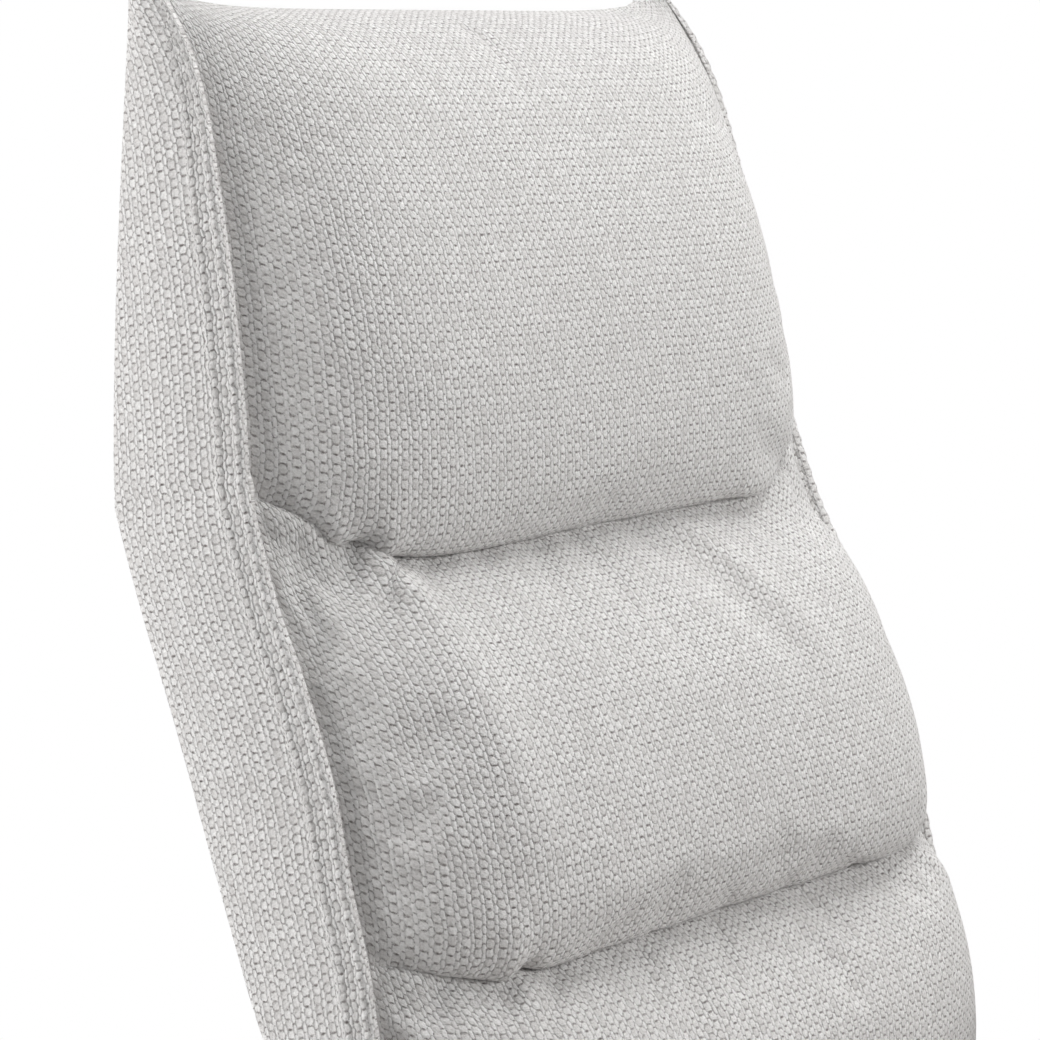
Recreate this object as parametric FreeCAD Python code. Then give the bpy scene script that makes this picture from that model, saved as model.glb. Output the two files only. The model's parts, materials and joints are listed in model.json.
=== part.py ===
import FreeCAD
import Part
import math
import os

# Manual swivel recliner with a tilting head section and a swing-out footrest.
# Millimetres and degrees. The chair faces -Y, +Z is up.
# The origin is on the floor, on the swivel axis.

# Floor base and column
mat_thickness = 4.0
mat_inset = 14.0
base_radius = 320.0
base_rim_height = 6.0
hub_height = 5.0
hub_radius = 92.0
column_height = 221.0
column_radius = 35.0
column_wall = 5.0
sleeve_floor_gap = 31.0
sleeve_flange = 2.0
spindle_radius = 20.0
spindle_floor_gap = 14.0
spindle_plate_half = 60.0
spindle_plate_thickness = 8.0

# Seat carriage
carriage_half_width = 112.0
carriage_front = 152.0
carriage_rear = 176.0
carriage_thickness = 6.0
carriage_flange = 22.0
cross_tube_size = 25.0
cross_tube_wall = 2.5
cross_tube_inset = 20.0

# Side rails
rail_thickness = 5.0
rail_beam_half_length = 205.0
rail_root_radius = 30.0
rail_recline_boss = 19.0
rail_foot_boss = 14.0
rail_window_length = 110.0
rail_window_height = 24.0
rail_window_spacing = 190.0

# Seat
frame_lift = 8.0
timber_height = 50.0
timber_width = 35.0
timber_notch_margin = 7.0
frame_front_inset = 13.0
frame_rear_overhang = 5.0
strap_thickness = 2.0
strap_width = 62.0
seat_strap_count = 5
seat_front = -305.0
seat_rear = 195.0
seat_front_rise = 123.0
seat_rear_rise = 103.0
seat_crown = 20.0
seat_nose_thickness = 60.0
seat_nose_overhang = 76.0
seat_side_gap = 2.0

# Arms
back_arm_gap = 7.0
arm_side_gap = 4.0
arm_width = 95.0
arm_front_inset = 5.0
arm_tail = 15.0
arm_front_rise = 253.0
arm_rear_rise = 225.0
arm_front_drop = 27.0
arm_rear_drop = 2.0
arm_front_setback = 58.0
arm_rear_setback = 34.0
arm_tail_rise = 148.0
arm_waist_rise = 135.0
arm_waist_setback = 139.0
arm_top_setback = 180.0
arm_corner_round = 55.0
arm_bevel_width = 16.0
arm_bevel_height = 20.0
arm_core_thickness = 20.0
arm_core_front_inset = 85.0
arm_core_rear_inset = 100.0
arm_core_lift = 9.0
arm_core_rise = 85.0
apron_thickness = 12.0
apron_rise = 20.0
apron_drop = 12.0
apron_gap = 4.0

# Backrest seen from the side
back_foot_gap = 48.7
back_foot_rise = 95.0
lumbar_length = 193.5
lumbar_lean = 16.0
mid_length = 266.7
mid_lean = 22.7
mid_seam_rise = -6.0
neck_half_width = 240.0
taper = 0.05
taper_depth = 280.0
head_taper = 0.08
back_depth = 111.0
rear_kink_drop = 23.0
rear_lean = 25.7
rear_cover_drop = 30.0
head_height = 264.0
head_setback = 89.0
head_seam_rise = 17.0
head_rear_setback = 1.0
side_panel_thickness = 10.0
rear_cover_thickness = 8.0

# Pillows
crease_depth = 40.0
crease_sag = 34.0
lower_crease_depth = 36.0
lower_crease_sag = 12.0
lumbar_foot_depth = 30.0
head_pillow_rise = 68.0
mid_pillow_rise = 37.0
lumbar_pillow_rise = 20.0
pillow_gap = 0.6
pillow_shoulder = 75.0
pillow_shoulder_depth = 46.0
shoulder_bow = 9.0
pillow_crown = 64.0
pillow_edge_depth = 4.0
head_pillow_top_drop = 3.0

# Back frame
frame_depth = 28.0
upright_inset = 40.0
upright_half = 11.0
upright_wall = 2.0
upright_top_gap = 22.0
crossbar_count = 3
crossbar_width = 26.0
crossbar_thickness = 6.0
back_strap_count = 5
back_strap_overlap = 8.0
torque_tube_radius = 15.0
torque_tube_wall = 3.0
torque_tube_end_gap = 6.0
recline_pivot_rise = 60.0
recline_range = 33.0
recline_pin_radius = 8.0
recline_bush_length = 25.0

# Head frame and its friction hinges
head_hinge_drop = 15.0
hinge_boss_radius = 10.0
hinge_leaf_thickness = 5.0
hinge_leaf_length = 78.0
hinge_pin_radius = 5.0
hinge_soft_gap = 4.0
head_tilt_forward = 12.0
head_tilt_back = 22.0
neck_spare_angle = 3.0
neck_gap = 1.2
arch_thickness = 5.0
arch_band = 26.0
arch_height = 205.0
arch_foot = 22.0
arch_corner = 52.0
arch_depth = 20.0

# Gas spring and its horn on the torque tube
horn_length = 100.0
horn_half_width = 11.0
horn_plate = 5.0
horn_gap = 18.0
horn_pin_radius = 4.0
gas_cylinder_radius = 14.0
gas_cylinder_length = 165.0
gas_rod_radius = 5.0
gas_rod_spare = 18.0
gas_rod_engaged = 40.0
gas_eye_radius = 12.0
gas_eye_offset = 24.0
gas_eye_side_gap = 1.0
gas_head_length = 34.0
gas_head_half_width = 9.0
gas_button_radius = 3.0
gas_bracket_plate = 5.0

# Release lever on the sitter's right
lever_shaft_radius = 5.0
lever_shaft_drop = 22.0
lever_finger_length = 20.0
lever_finger_width = 12.0
lever_range = 12.0
lever_button_length = 4.0
lever_hole_clearance = 6.0
lever_stand_off = 20.0
lever_plate = 6.0
lever_bracket_x = 60.0
lever_length = 128.0
lever_rise = 8.0
lever_boss_radius = 13.0
lever_tip_radius = 8.0
grip_length = 92.0
grip_radius = 13.0
grip_half = 9.0

# Footrest
foot_face_offset = 13.0
foot_pivot_rise = 43.0
foot_pin_radius = 6.0
foot_bush_wall = 3.0
foot_arm_thickness = 4.0
foot_arm_side_gap = 3.2
foot_arm_length = 215.0
foot_arm_flange = 30.0
foot_boss_radius = 12.0
foot_arm_radius = 10.0
foot_arm_knee = 48.0
foot_board_thickness = 12.0
foot_pad_thickness = 43.0
foot_pad_top_gap = 2.0
foot_length = 301.0
foot_board_margin = 8.0
foot_pad_round = 16.0

# Clearances
pin_end_proud = 2.0
running_clearance = 0.08
seat_clearance = 0.3
soft_clearance = 0.5


# Heights and widths that follow from the sizes above

plate_top = mat_thickness + base_rim_height + hub_height
column_top = plate_top + column_height
spindle_seat = column_top + sleeve_flange + running_clearance
carriage_bottom = spindle_seat + spindle_plate_thickness
carriage_top = carriage_bottom + carriage_thickness
timber_bottom = carriage_top + cross_tube_size + frame_lift
timber_top = timber_bottom + timber_height
seat_bottom = timber_top + strap_thickness + soft_clearance
seat_front_height = timber_top + seat_front_rise
seat_rear_height = timber_top + seat_rear_rise
seat_heel = seat_front + seat_nose_overhang
seat_frame_front = seat_heel + frame_front_inset
seat_frame_rear = seat_rear + frame_rear_overhang

arm_inner = neck_half_width + taper * taper_depth + back_arm_gap
arm_outer = arm_inner + arm_width
rail_outer = arm_inner - arm_side_gap
rail_inner = rail_outer - rail_thickness
seat_half_width = rail_inner - seat_side_gap


def moved(point, distance, lean):
    """A side-view point (y, z) moved upwards along a line that leans back by an angle."""
    angle = math.radians(lean)
    return (point[0] + distance * math.sin(angle), point[1] + distance * math.cos(angle))


def ahead(point, distance, lean):
    """A side-view point moved square to such a line, towards the front of the chair."""
    angle = math.radians(lean)
    return (point[0] - distance * math.cos(angle), point[1] + distance * math.sin(angle))


def at_height(point, lean, height):
    """The point at a height on a line that leans back through a point."""
    return moved(point, (height - point[1]) / math.cos(math.radians(lean)), lean)


# Corners of the backrest, seen from the side
back_foot = (seat_rear + back_foot_gap, timber_top + back_foot_rise)
mid_seam = moved(back_foot, lumbar_length, lumbar_lean)
neck = moved(mid_seam, mid_length, mid_lean)
head_top = (neck[0] + head_setback, neck[1] + head_height)
rear_kink = (neck[0] + back_depth, neck[1] - rear_kink_drop)
head_rear_top = (rear_kink[0] + head_rear_setback, head_top[1])
rear_foot = at_height(rear_kink, rear_lean, back_foot[1])

# The creases between the pillows
neck_crease = (neck[0] - crease_depth, neck[1] - crease_sag)
mid_crease = ahead((mid_seam[0], mid_seam[1] - lower_crease_sag), lower_crease_depth, mid_lean)
lumbar_front_foot = ahead(back_foot, lumbar_foot_depth, lumbar_lean)
pillow_back = frame_depth + upright_half + strap_thickness + soft_clearance
channel_rear = ahead(moved(rear_kink, -mid_length, rear_lean), pillow_back, rear_lean)

# Pivots. The recline and head pivots lie on the axis of the back's uprights
frame_line = ahead(rear_kink, frame_depth, rear_lean)
recline_pivot = at_height(frame_line, rear_lean, timber_top + recline_pivot_rise)
head_pivot = at_height(frame_line, rear_lean, neck[1] - head_hinge_drop)
foot_pivot = (seat_front + foot_face_offset, timber_top + foot_pivot_rise)
upright_top = moved(head_pivot, -upright_top_gap, rear_lean)
upright_length = math.hypot(upright_top[0] - recline_pivot[0], upright_top[1] - recline_pivot[1])
upright_x = neck_half_width - upright_inset
torque_tube_half = rail_inner - torque_tube_end_gap

# The horn swings evenly to both sides of upright, so the gas spring lies level
half_recline = recline_range / 2
horn_end = moved(recline_pivot, -horn_length, -half_recline)
horn_sag = horn_length * (1 - math.cos(math.radians(half_recline)))
gas_stroke = 2 * horn_length * math.sin(math.radians(half_recline))
gas_z = horn_end[1] - horn_sag / 2
gas_eye_bore = horn_pin_radius + horn_sag / 2 + seat_clearance
gas_cylinder_rear = horn_end[0] - gas_eye_offset
gas_cylinder_front = gas_cylinder_rear - gas_cylinder_length
gas_head_rear = gas_cylinder_front - gas_stroke - gas_rod_spare
gas_head_front = gas_head_rear - gas_head_length

# The lever's finger stands just ahead of the gas spring's release button
lever_finger_tip = lever_finger_length + lever_finger_width / 2
lever_swing = lever_finger_tip * math.sin(math.radians(lever_range))
lever_reach = lever_button_length + lever_swing + lever_finger_width / 2 + seat_clearance
lever_axis = (gas_head_front - lever_reach, gas_z - lever_shaft_drop)
lever_tip = (lever_axis[0] - lever_length, lever_axis[1] + lever_rise)
lever_inner = -(arm_outer + lever_stand_off)
lever_outer = lever_inner - lever_plate

# Arms and apron
apron_front = rear_foot[0] + apron_gap
arm_front = seat_front + arm_front_inset
arm_rear = apron_front + apron_thickness + arm_tail
arm_core_outer = rail_outer + arm_core_thickness

# Head frame
leaf_lower_x = upright_x + upright_half
leaf_upper_x = leaf_lower_x + hinge_leaf_thickness + seat_clearance
arch_y = head_rear_top[0] - arch_depth
arch_front = arch_y - arch_thickness / 2
arch_top = neck[1] + arch_height
arch_bottom = neck[1] + arch_foot
leaf_head_end = (arch_y, arch_bottom + hinge_leaf_length / 2)

# Footrest
foot_front = foot_pivot[0] - foot_face_offset
foot_pad_rear = foot_front + foot_pad_thickness
foot_board_front = foot_pad_rear + seat_clearance
foot_board_rear = foot_board_front + foot_board_thickness
foot_top = foot_pivot[1] - foot_pad_top_gap
foot_bottom = foot_top - foot_length
foot_arm_outer = rail_inner - foot_arm_side_gap
foot_arm_inner = foot_arm_outer - foot_arm_thickness
foot_half_width = foot_arm_inner - soft_clearance
foot_arm_y = foot_board_rear + foot_arm_thickness - foot_arm_radius


# Geometry helpers


def side(point, x=0.0):
    """A side-view point (y, z) in space."""
    return FreeCAD.Vector(x, point[0], point[1])


def front(point):
    """A front-view point (x, z) in space."""
    return FreeCAD.Vector(point[0], 0, point[1])


def straight(start, end, place=side):
    return Part.LineSegment(place(start), place(end)).toShape()


def bow(start, end, rise, place=side):
    """An arc between two points, its middle standing off the chord to the left of travel."""
    run = (end[0] - start[0], end[1] - start[1])
    length = math.hypot(*run)
    middle = (
        (start[0] + end[0]) / 2 - run[1] / length * rise,
        (start[1] + end[1]) / 2 + run[0] / length * rise,
    )
    return Part.Arc(place(start), place(middle), place(end)).toShape()


def closed_path(points, place=side):
    """Straight edges through points, back to the first."""
    ends = points[1:] + points[:1]
    return [straight(a, b, place) for a, b in zip(points, ends)]


def rectangle(low, high):
    """The four corners between two opposite corners."""
    return [low, (high[0], low[1]), high, (low[0], high[1])]


def rounded_path(points, radius, place=side):
    """A closed outline through points, with every corner rounded."""
    joins = []
    for before, corner, after in zip(points[-1:] + points[:-1], points, points[1:] + points[:1]):
        to_before = FreeCAD.Vector(before[0] - corner[0], before[1] - corner[1], 0).normalize()
        to_after = FreeCAD.Vector(after[0] - corner[0], after[1] - corner[1], 0).normalize()
        half = to_before.getAngle(to_after) / 2
        reach = radius / math.tan(half)
        inward = (to_before + to_after).normalize() * (radius / math.sin(half) - radius)
        first = (corner[0] + to_before.x * reach, corner[1] + to_before.y * reach)
        last = (corner[0] + to_after.x * reach, corner[1] + to_after.y * reach)
        joins.append((first, (corner[0] + inward.x, corner[1] + inward.y), last))
    edges = []
    for this, following in zip(joins, joins[1:] + joins[:1]):
        edges.append(Part.Arc(place(this[0]), place(this[1]), place(this[2])).toShape())
        edges.append(straight(this[2], following[0], place))
    return edges


def on_rim(centre, radius, angle):
    return (centre[0] + radius * math.cos(angle), centre[1] + radius * math.sin(angle))


def link_path(start, start_radius, end, end_radius):
    """The outline of a link: a round boss at each end, joined by tangents."""
    run = (end[0] - start[0], end[1] - start[1])
    heading = math.atan2(run[1], run[0])
    spread = math.acos((start_radius - end_radius) / math.hypot(*run))
    end_right = on_rim(end, end_radius, heading - spread)
    end_left = on_rim(end, end_radius, heading + spread)
    start_right = on_rim(start, start_radius, heading - spread)
    start_left = on_rim(start, start_radius, heading + spread)
    end_tip = on_rim(end, end_radius, heading)
    start_tip = on_rim(start, start_radius, heading + math.pi)
    return [
        straight(start_right, end_right),
        Part.Arc(side(end_right), side(end_tip), side(end_left)).toShape(),
        straight(end_left, start_left),
        Part.Arc(side(start_left), side(start_tip), side(start_right)).toShape(),
    ]


def strip_path(start, end, half):
    """The outline of a strip of a half width between two points."""
    heading = math.atan2(end[1] - start[1], end[0] - start[0])
    right, left = heading - math.pi / 2, heading + math.pi / 2
    places = ((start, right), (end, right), (end, left), (start, left))
    return closed_path([on_rim(point, half, angle) for point, angle in places])


def tongue_path(foot, tip, radius):
    """The outline of a strip with a square foot and a round end about the tip point."""
    heading = math.atan2(tip[1] - foot[1], tip[0] - foot[0])
    right, left = heading - math.pi / 2, heading + math.pi / 2
    tip_right, tip_left = on_rim(tip, radius, right), on_rim(tip, radius, left)
    return [
        straight(on_rim(foot, radius, right), tip_right),
        Part.Arc(side(tip_right), side(on_rim(tip, radius, heading)), side(tip_left)).toShape(),
        straight(tip_left, on_rim(foot, radius, left)),
        straight(on_rim(foot, radius, left), on_rim(foot, radius, right)),
    ]


def leaning_strip(low, length, rear, ahead_edge):
    """Corners of a strip along the uprights, between two distances ahead of their axis."""
    high = moved(low, length, rear_lean)
    return [
        ahead(low, rear, rear_lean),
        ahead(high, rear, rear_lean),
        ahead(high, ahead_edge, rear_lean),
        ahead(low, ahead_edge, rear_lean),
    ]


def slab(edges, start, end):
    """A closed outline swept from one vector to another."""
    face = Part.Face(Part.Wire(Part.__sortEdges__(edges)))
    return face.translated(start).extrude(end - start)


def across(edges, x_from, x_to):
    """A side-view outline as a solid between two widths."""
    return slab(edges, FreeCAD.Vector(x_from, 0, 0), FreeCAD.Vector(x_to, 0, 0))


def along(edges, y_from, y_to):
    """A front-view outline as a solid between two depths."""
    return slab(edges, FreeCAD.Vector(0, y_from, 0), FreeCAD.Vector(0, y_to, 0))


def block(x_range, y_range, z_range):
    corner = FreeCAD.Vector(x_range[0], y_range[0], z_range[0])
    size = (x_range[1] - x_range[0], y_range[1] - y_range[0], z_range[1] - z_range[0])
    return Part.makeBox(*size, corner)


def rod_x(centre, radius, x_from, x_to):
    """A round bar along X at a side-view point."""
    return Part.makeCylinder(radius, x_to - x_from, side(centre, x_from), FreeCAD.Vector(1, 0, 0))


def ring_x(centre, outer, inner, x_from, x_to):
    return rod_x(centre, outer, x_from, x_to).cut(rod_x(centre, inner, x_from, x_to))


def rod_y(z, radius, y_from, y_to):
    """A round bar along Y on the chair's centre line."""
    return Part.makeCylinder(radius, y_to - y_from, FreeCAD.Vector(0, y_from, z), FreeCAD.Vector(0, 1, 0))


def rod_z(radius, z_from, z_to):
    """A round bar on the swivel axis."""
    return Part.makeCylinder(radius, z_to - z_from, FreeCAD.Vector(0, 0, z_from))


def ring_z(outer, inner, z_from, z_to):
    return rod_z(outer, z_from, z_to).cut(rod_z(inner, z_from, z_to))


def turned(edges):
    """A (radius, height) outline turned about the swivel axis."""
    face = Part.Face(Part.Wire(Part.__sortEdges__(edges)))
    return face.revolve(FreeCAD.Vector(0, 0, 0), FreeCAD.Vector(0, 0, 1), 360)


def mirrored(shape):
    return shape.mirror(FreeCAD.Vector(0, 0, 0), FreeCAD.Vector(1, 0, 0))


def both_sides(shape):
    """A piece and its mirror image, as separate solids of one node."""
    return Part.makeCompound([shape, mirrored(shape)])


# Base


def base_mat():
    return rod_z(base_radius - mat_inset, 0, mat_thickness)


def base_plate():
    rim_top = mat_thickness + base_rim_height
    disc = rod_z(base_radius, mat_thickness, rim_top)
    return disc.fuse(rod_z(hub_radius, rim_top, plate_top))


def column_tube():
    return ring_z(column_radius, column_radius - column_wall, plate_top, column_top)


def column_sleeve():
    bore = spindle_radius + running_clearance
    outer = column_radius - column_wall
    outline = [
        (bore, plate_top + sleeve_floor_gap),
        (outer, plate_top + sleeve_floor_gap),
        (outer, column_top),
        (column_radius, column_top),
        (column_radius, column_top + sleeve_flange),
        (bore, column_top + sleeve_flange),
    ]
    return turned(closed_path(outline, front))


# Seat carriage


def swivel_spindle():
    shaft = rod_z(spindle_radius, plate_top + spindle_floor_gap, spindle_seat)
    span = (-spindle_plate_half, spindle_plate_half)
    return shaft.fuse(block(span, span, (spindle_seat, carriage_bottom)))


def carriage_plate():
    lip = carriage_top - carriage_flange
    inner = carriage_half_width - carriage_thickness
    outline = [
        (-carriage_half_width, lip),
        (-carriage_half_width, carriage_top),
        (carriage_half_width, carriage_top),
        (carriage_half_width, lip),
        (inner, lip),
        (inner, carriage_bottom),
        (-inner, carriage_bottom),
        (-inner, lip),
    ]
    return along(closed_path(outline, front), -carriage_front, carriage_rear)


def cross_tube(y):
    middle = carriage_top + cross_tube_size / 2

    def square(half):
        corners = rectangle((y - half, middle - half), (y + half, middle + half))
        return across(closed_path(corners), -rail_inner, rail_inner)

    return square(cross_tube_size / 2).cut(square(cross_tube_size / 2 - cross_tube_wall))


def cross_tubes():
    places = (cross_tube_inset - carriage_front, carriage_rear - cross_tube_inset)
    return Part.makeCompound([cross_tube(y) for y in places])


def side_rail():
    """The left rail: a beam with an arm to the recline pivot and one to the footrest pivot."""
    x_from, x_to = rail_inner, rail_outer
    beam = rectangle((-rail_beam_half_length, carriage_top), (rail_beam_half_length, timber_top))
    root_z = (carriage_top + timber_top) / 2
    rear_root = (rail_beam_half_length - rail_root_radius, root_z)
    front_root = (rail_root_radius - rail_beam_half_length, root_z)
    rail = across(rounded_path(beam, rail_root_radius), x_from, x_to)
    rail = rail.fuse(
        [
            across(link_path(rear_root, rail_root_radius, recline_pivot, rail_recline_boss), x_from, x_to),
            across(link_path(front_root, rail_root_radius, foot_pivot, rail_foot_boss), x_from, x_to),
        ]
    ).removeSplitter()
    window_z = timber_bottom + timber_height / 2
    window_height = (window_z - rail_window_height / 2, window_z + rail_window_height / 2)
    for middle in (-rail_window_spacing / 2, rail_window_spacing / 2):
        span = (middle - rail_window_length / 2, middle + rail_window_length / 2)
        rail = rail.cut(block((x_from, x_to), span, window_height))
    rail = rail.cut(rod_x(recline_pivot, recline_pin_radius, x_from, x_to))
    return rail.cut(rod_x(foot_pivot, foot_pin_radius, x_from, x_to))


def side_rail_with_lever_hole():
    bore = lever_shaft_radius + running_clearance
    return mirrored(side_rail()).cut(rod_x(lever_axis, bore, -rail_outer, -rail_inner))


def recline_pin():
    return rod_x(recline_pivot, recline_pin_radius, torque_tube_half - recline_bush_length, rail_outer)


def footrest_pin():
    return rod_x(foot_pivot, foot_pin_radius, foot_arm_inner, rail_outer)


# Seat


def seat_timbers():
    half = rail_inner - soft_clearance
    height = (timber_bottom, timber_top)
    notch = gas_cylinder_radius + timber_notch_margin
    rear_span = (seat_frame_rear - timber_width, seat_frame_rear)
    rear_bar = block((-half, half), rear_span, height)
    rear_bar = rear_bar.cut(block((-notch, notch), rear_span, (timber_bottom, gas_z + notch)))
    front_bar = block((-half, half), (seat_frame_front, seat_frame_front + timber_width), height)
    side_bar = block((half - timber_width, half), (seat_frame_front + timber_width, rear_span[0]), height)
    return Part.makeCompound([front_bar, rear_bar, side_bar, mirrored(side_bar)])


def seat_straps():
    pitch = 2 * (seat_half_width - strap_width / 2) / seat_strap_count
    straps = []
    for index in range(seat_strap_count):
        x = pitch * (index - (seat_strap_count - 1) / 2)
        span = (seat_frame_front, seat_frame_rear)
        height = (timber_top, timber_top + strap_thickness)
        straps.append(block((x - strap_width / 2, x + strap_width / 2), span, height))
    return Part.makeCompound(straps)


def seat_cushion():
    """A block with a round nose, crowned across its width."""
    crest_front = seat_front_height + seat_crown
    crest_rear = seat_rear_height + seat_crown
    nose_bottom = seat_front_height - seat_nose_thickness
    nose_round = (crest_front - nose_bottom) / 2
    nose_centre = seat_front + nose_round
    outline = [
        straight((seat_rear, seat_bottom), (seat_heel, seat_bottom)),
        straight((seat_heel, seat_bottom), (seat_heel, nose_bottom)),
        straight((seat_heel, nose_bottom), (nose_centre, nose_bottom)),
        bow((nose_centre, nose_bottom), (nose_centre, crest_front), nose_round),
        straight((nose_centre, crest_front), (seat_rear, crest_rear)),
        straight((seat_rear, crest_rear), (seat_rear, seat_bottom)),
    ]
    low = seat_bottom - seat_front_rise
    left_top, right_top = (-seat_half_width, seat_front_height), (seat_half_width, seat_front_height)
    section = [
        straight((-seat_half_width, low), left_top, front),
        bow(left_top, right_top, seat_crown, front),
        straight(right_top, (seat_half_width, low), front),
        straight((seat_half_width, low), (-seat_half_width, low), front),
    ]
    start = FreeCAD.Vector(0, seat_front, 0)
    end = FreeCAD.Vector(0, seat_rear, seat_rear_height - seat_front_height)
    cushion = across(outline, -seat_half_width, seat_half_width)
    return cushion.common(slab(section, start, end))


# Arms


def arm_core_corners(margin=0.0):
    low = (arm_front + arm_core_front_inset - margin, carriage_top + arm_core_lift - margin)
    high = (arm_rear - arm_core_rear_inset + margin, timber_top + arm_core_rise + margin)
    return rectangle(low, high)


def arm_core():
    return across(closed_path(arm_core_corners()), rail_outer, arm_core_outer)


def arm_cover():
    """The left arm: a side outline trimmed by a section with bevelled top edges that follows its slope."""
    arm_foot = carriage_top - arm_front_drop
    crest = timber_top + arm_front_rise
    top_rear = arm_rear - arm_top_setback
    slope = (arm_rear_rise - arm_front_rise) * (arm_rear - arm_front) / (top_rear - arm_front)
    corners = [
        (arm_front + arm_front_setback, arm_foot),
        (arm_rear - arm_rear_setback, carriage_top - arm_rear_drop),
        (arm_rear, carriage_top + arm_tail_rise),
        (arm_rear - arm_waist_setback, timber_top + arm_waist_rise),
        (top_rear, timber_top + arm_rear_rise),
        (arm_front, crest),
    ]
    cover = across(rounded_path(corners, arm_corner_round), arm_inner, arm_outer)
    section = [
        (arm_inner, arm_foot + slope),
        (arm_outer, arm_foot + slope),
        (arm_outer, crest - arm_bevel_height),
        (arm_outer - arm_bevel_width, crest),
        (arm_inner + arm_bevel_width, crest),
        (arm_inner, crest - arm_bevel_height),
    ]
    cover = cover.common(
        slab(closed_path(section, front), FreeCAD.Vector(0, arm_front, 0), FreeCAD.Vector(0, arm_rear, slope))
    )
    pocket = across(closed_path(arm_core_corners(soft_clearance)), arm_inner, arm_core_outer + soft_clearance)
    return cover.cut(pocket)


def with_lever_hole(shape):
    radius = lever_shaft_radius + lever_hole_clearance
    return mirrored(shape).cut(rod_x(lever_axis, radius, -arm_outer, -rail_outer))


def rear_apron():
    height = (carriage_top - apron_drop, timber_top + apron_rise)
    return block((-arm_inner, arm_inner), (apron_front, apron_front + apron_thickness), height)


# Back


def half_width(z):
    """Half the width of the back over its side seams at a height."""
    above = max(z - neck[1], 0)
    below = min(max(neck[1] - z, 0), taper_depth)
    return neck_half_width + taper * below - head_taper * above


def between_sides(inset_outer, inset_inner=None):
    """A tall solid with the back's taper: full width, or a wall at the +X side."""
    heights = (back_foot[1] - back_depth, neck[1] - taper_depth, neck[1], head_top[1] + back_depth)
    outer = [(half_width(z) - inset_outer, z) for z in heights]
    if inset_inner is None:
        inner = [(-x, z) for x, z in outer]
    else:
        inner = [(half_width(z) - inset_inner, z) for z in heights]
    path = closed_path(outer + inner[::-1], front)
    return along(path, back_foot[0] - 2 * back_depth, head_rear_top[0] + back_depth)


def neck_space(front_target, upper):
    """All that lies beyond the neck fold, as seen from the head (upper) or from the back."""
    sign = 1 if upper else -1
    front_spare = math.radians(head_tilt_forward + neck_spare_angle) / 2
    rear_spare = math.radians(head_tilt_back + neck_spare_angle) / 2
    reach = head_height + back_depth
    front_angle = math.atan2(front_target[1] - head_pivot[1], front_target[0] - head_pivot[0])
    rear_angle = math.atan2(rear_kink[1] - head_pivot[1], rear_kink[0] - head_pivot[0])
    apex = (head_pivot[0], head_pivot[1] + sign * neck_gap)
    front_end = on_rim(apex, reach, front_angle - sign * front_spare)
    rear_end = on_rim(apex, reach, rear_angle + sign * rear_spare)
    far = head_pivot[1] - sign * 2 * reach
    corners = [front_end, apex, rear_end, (rear_end[0], far), (front_end[0], far)]
    return across(closed_path(corners), -rail_inner, rail_inner)


def back_side_panel():
    top_rear = moved(rear_kink, back_depth, rear_lean)
    outline = [
        straight(back_foot, mid_seam),
        bow(mid_seam, neck, mid_seam_rise),
        straight(neck, top_rear),
        straight(top_rear, rear_foot),
        straight(rear_foot, back_foot),
    ]
    panel = across(outline, 0, rail_inner)
    panel = panel.common(between_sides(0, side_panel_thickness))
    return panel.cut(neck_space(neck, False))


def back_rear_cover():
    hem = at_height(rear_kink, rear_lean, back_foot[1] - rear_cover_drop)
    length = math.hypot(rear_kink[0] - hem[0], rear_kink[1] - hem[1]) + back_depth
    cover = across(closed_path(leaning_strip(hem, length, 0, rear_cover_thickness)), -rail_inner, rail_inner)
    cover = cover.common(between_sides(side_panel_thickness + soft_clearance))
    return cover.cut(neck_space(neck, False))


def crown(chord_foot, chord_top, seam_depth):
    """A bowed plan section swept along a pillow: steep shoulders beside the seams, a flatter middle."""
    run = (chord_top[0] - chord_foot[0], chord_top[1] - chord_foot[1])
    lean = math.degrees(math.atan2(run[0], run[1]))
    half = half_width(back_foot[1])
    shoulder = half - pillow_shoulder
    foot = moved(chord_foot, -back_depth, lean)
    length = math.hypot(*run) + 2 * back_depth

    def place(point):
        y, z = ahead(foot, point[1] + seam_depth, lean)
        return FreeCAD.Vector(point[0], y, z)

    deep = -2 * back_depth
    middle_rise = pillow_crown - pillow_shoulder_depth
    outline = [
        straight((-half, deep), (-half, pillow_edge_depth), place),
        bow((-half, pillow_edge_depth), (-shoulder, pillow_shoulder_depth), shoulder_bow, place),
        bow((-shoulder, pillow_shoulder_depth), (shoulder, pillow_shoulder_depth), middle_rise, place),
        bow((shoulder, pillow_shoulder_depth), (half, pillow_edge_depth), shoulder_bow, place),
        straight((half, pillow_edge_depth), (half, deep), place),
        straight((half, deep), (-half, deep), place),
    ]
    return slab(outline, FreeCAD.Vector(0, 0, 0), side(moved((0, 0), length, lean)))


def mid_pillow():
    top_rear = moved(ahead(rear_kink, pillow_back, rear_lean), back_depth, rear_lean)
    outline = [
        bow(mid_crease, neck_crease, mid_pillow_rise),
        straight(neck_crease, neck),
        straight(neck, top_rear),
        straight(top_rear, channel_rear),
        straight(channel_rear, mid_crease),
    ]
    pillow = across(outline, -rail_inner, rail_inner)
    pillow = pillow.common(between_sides(side_panel_thickness + soft_clearance))
    pillow = pillow.common(crown(mid_seam, neck, 0))
    return pillow.cut(neck_space(neck_crease, False))


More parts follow.
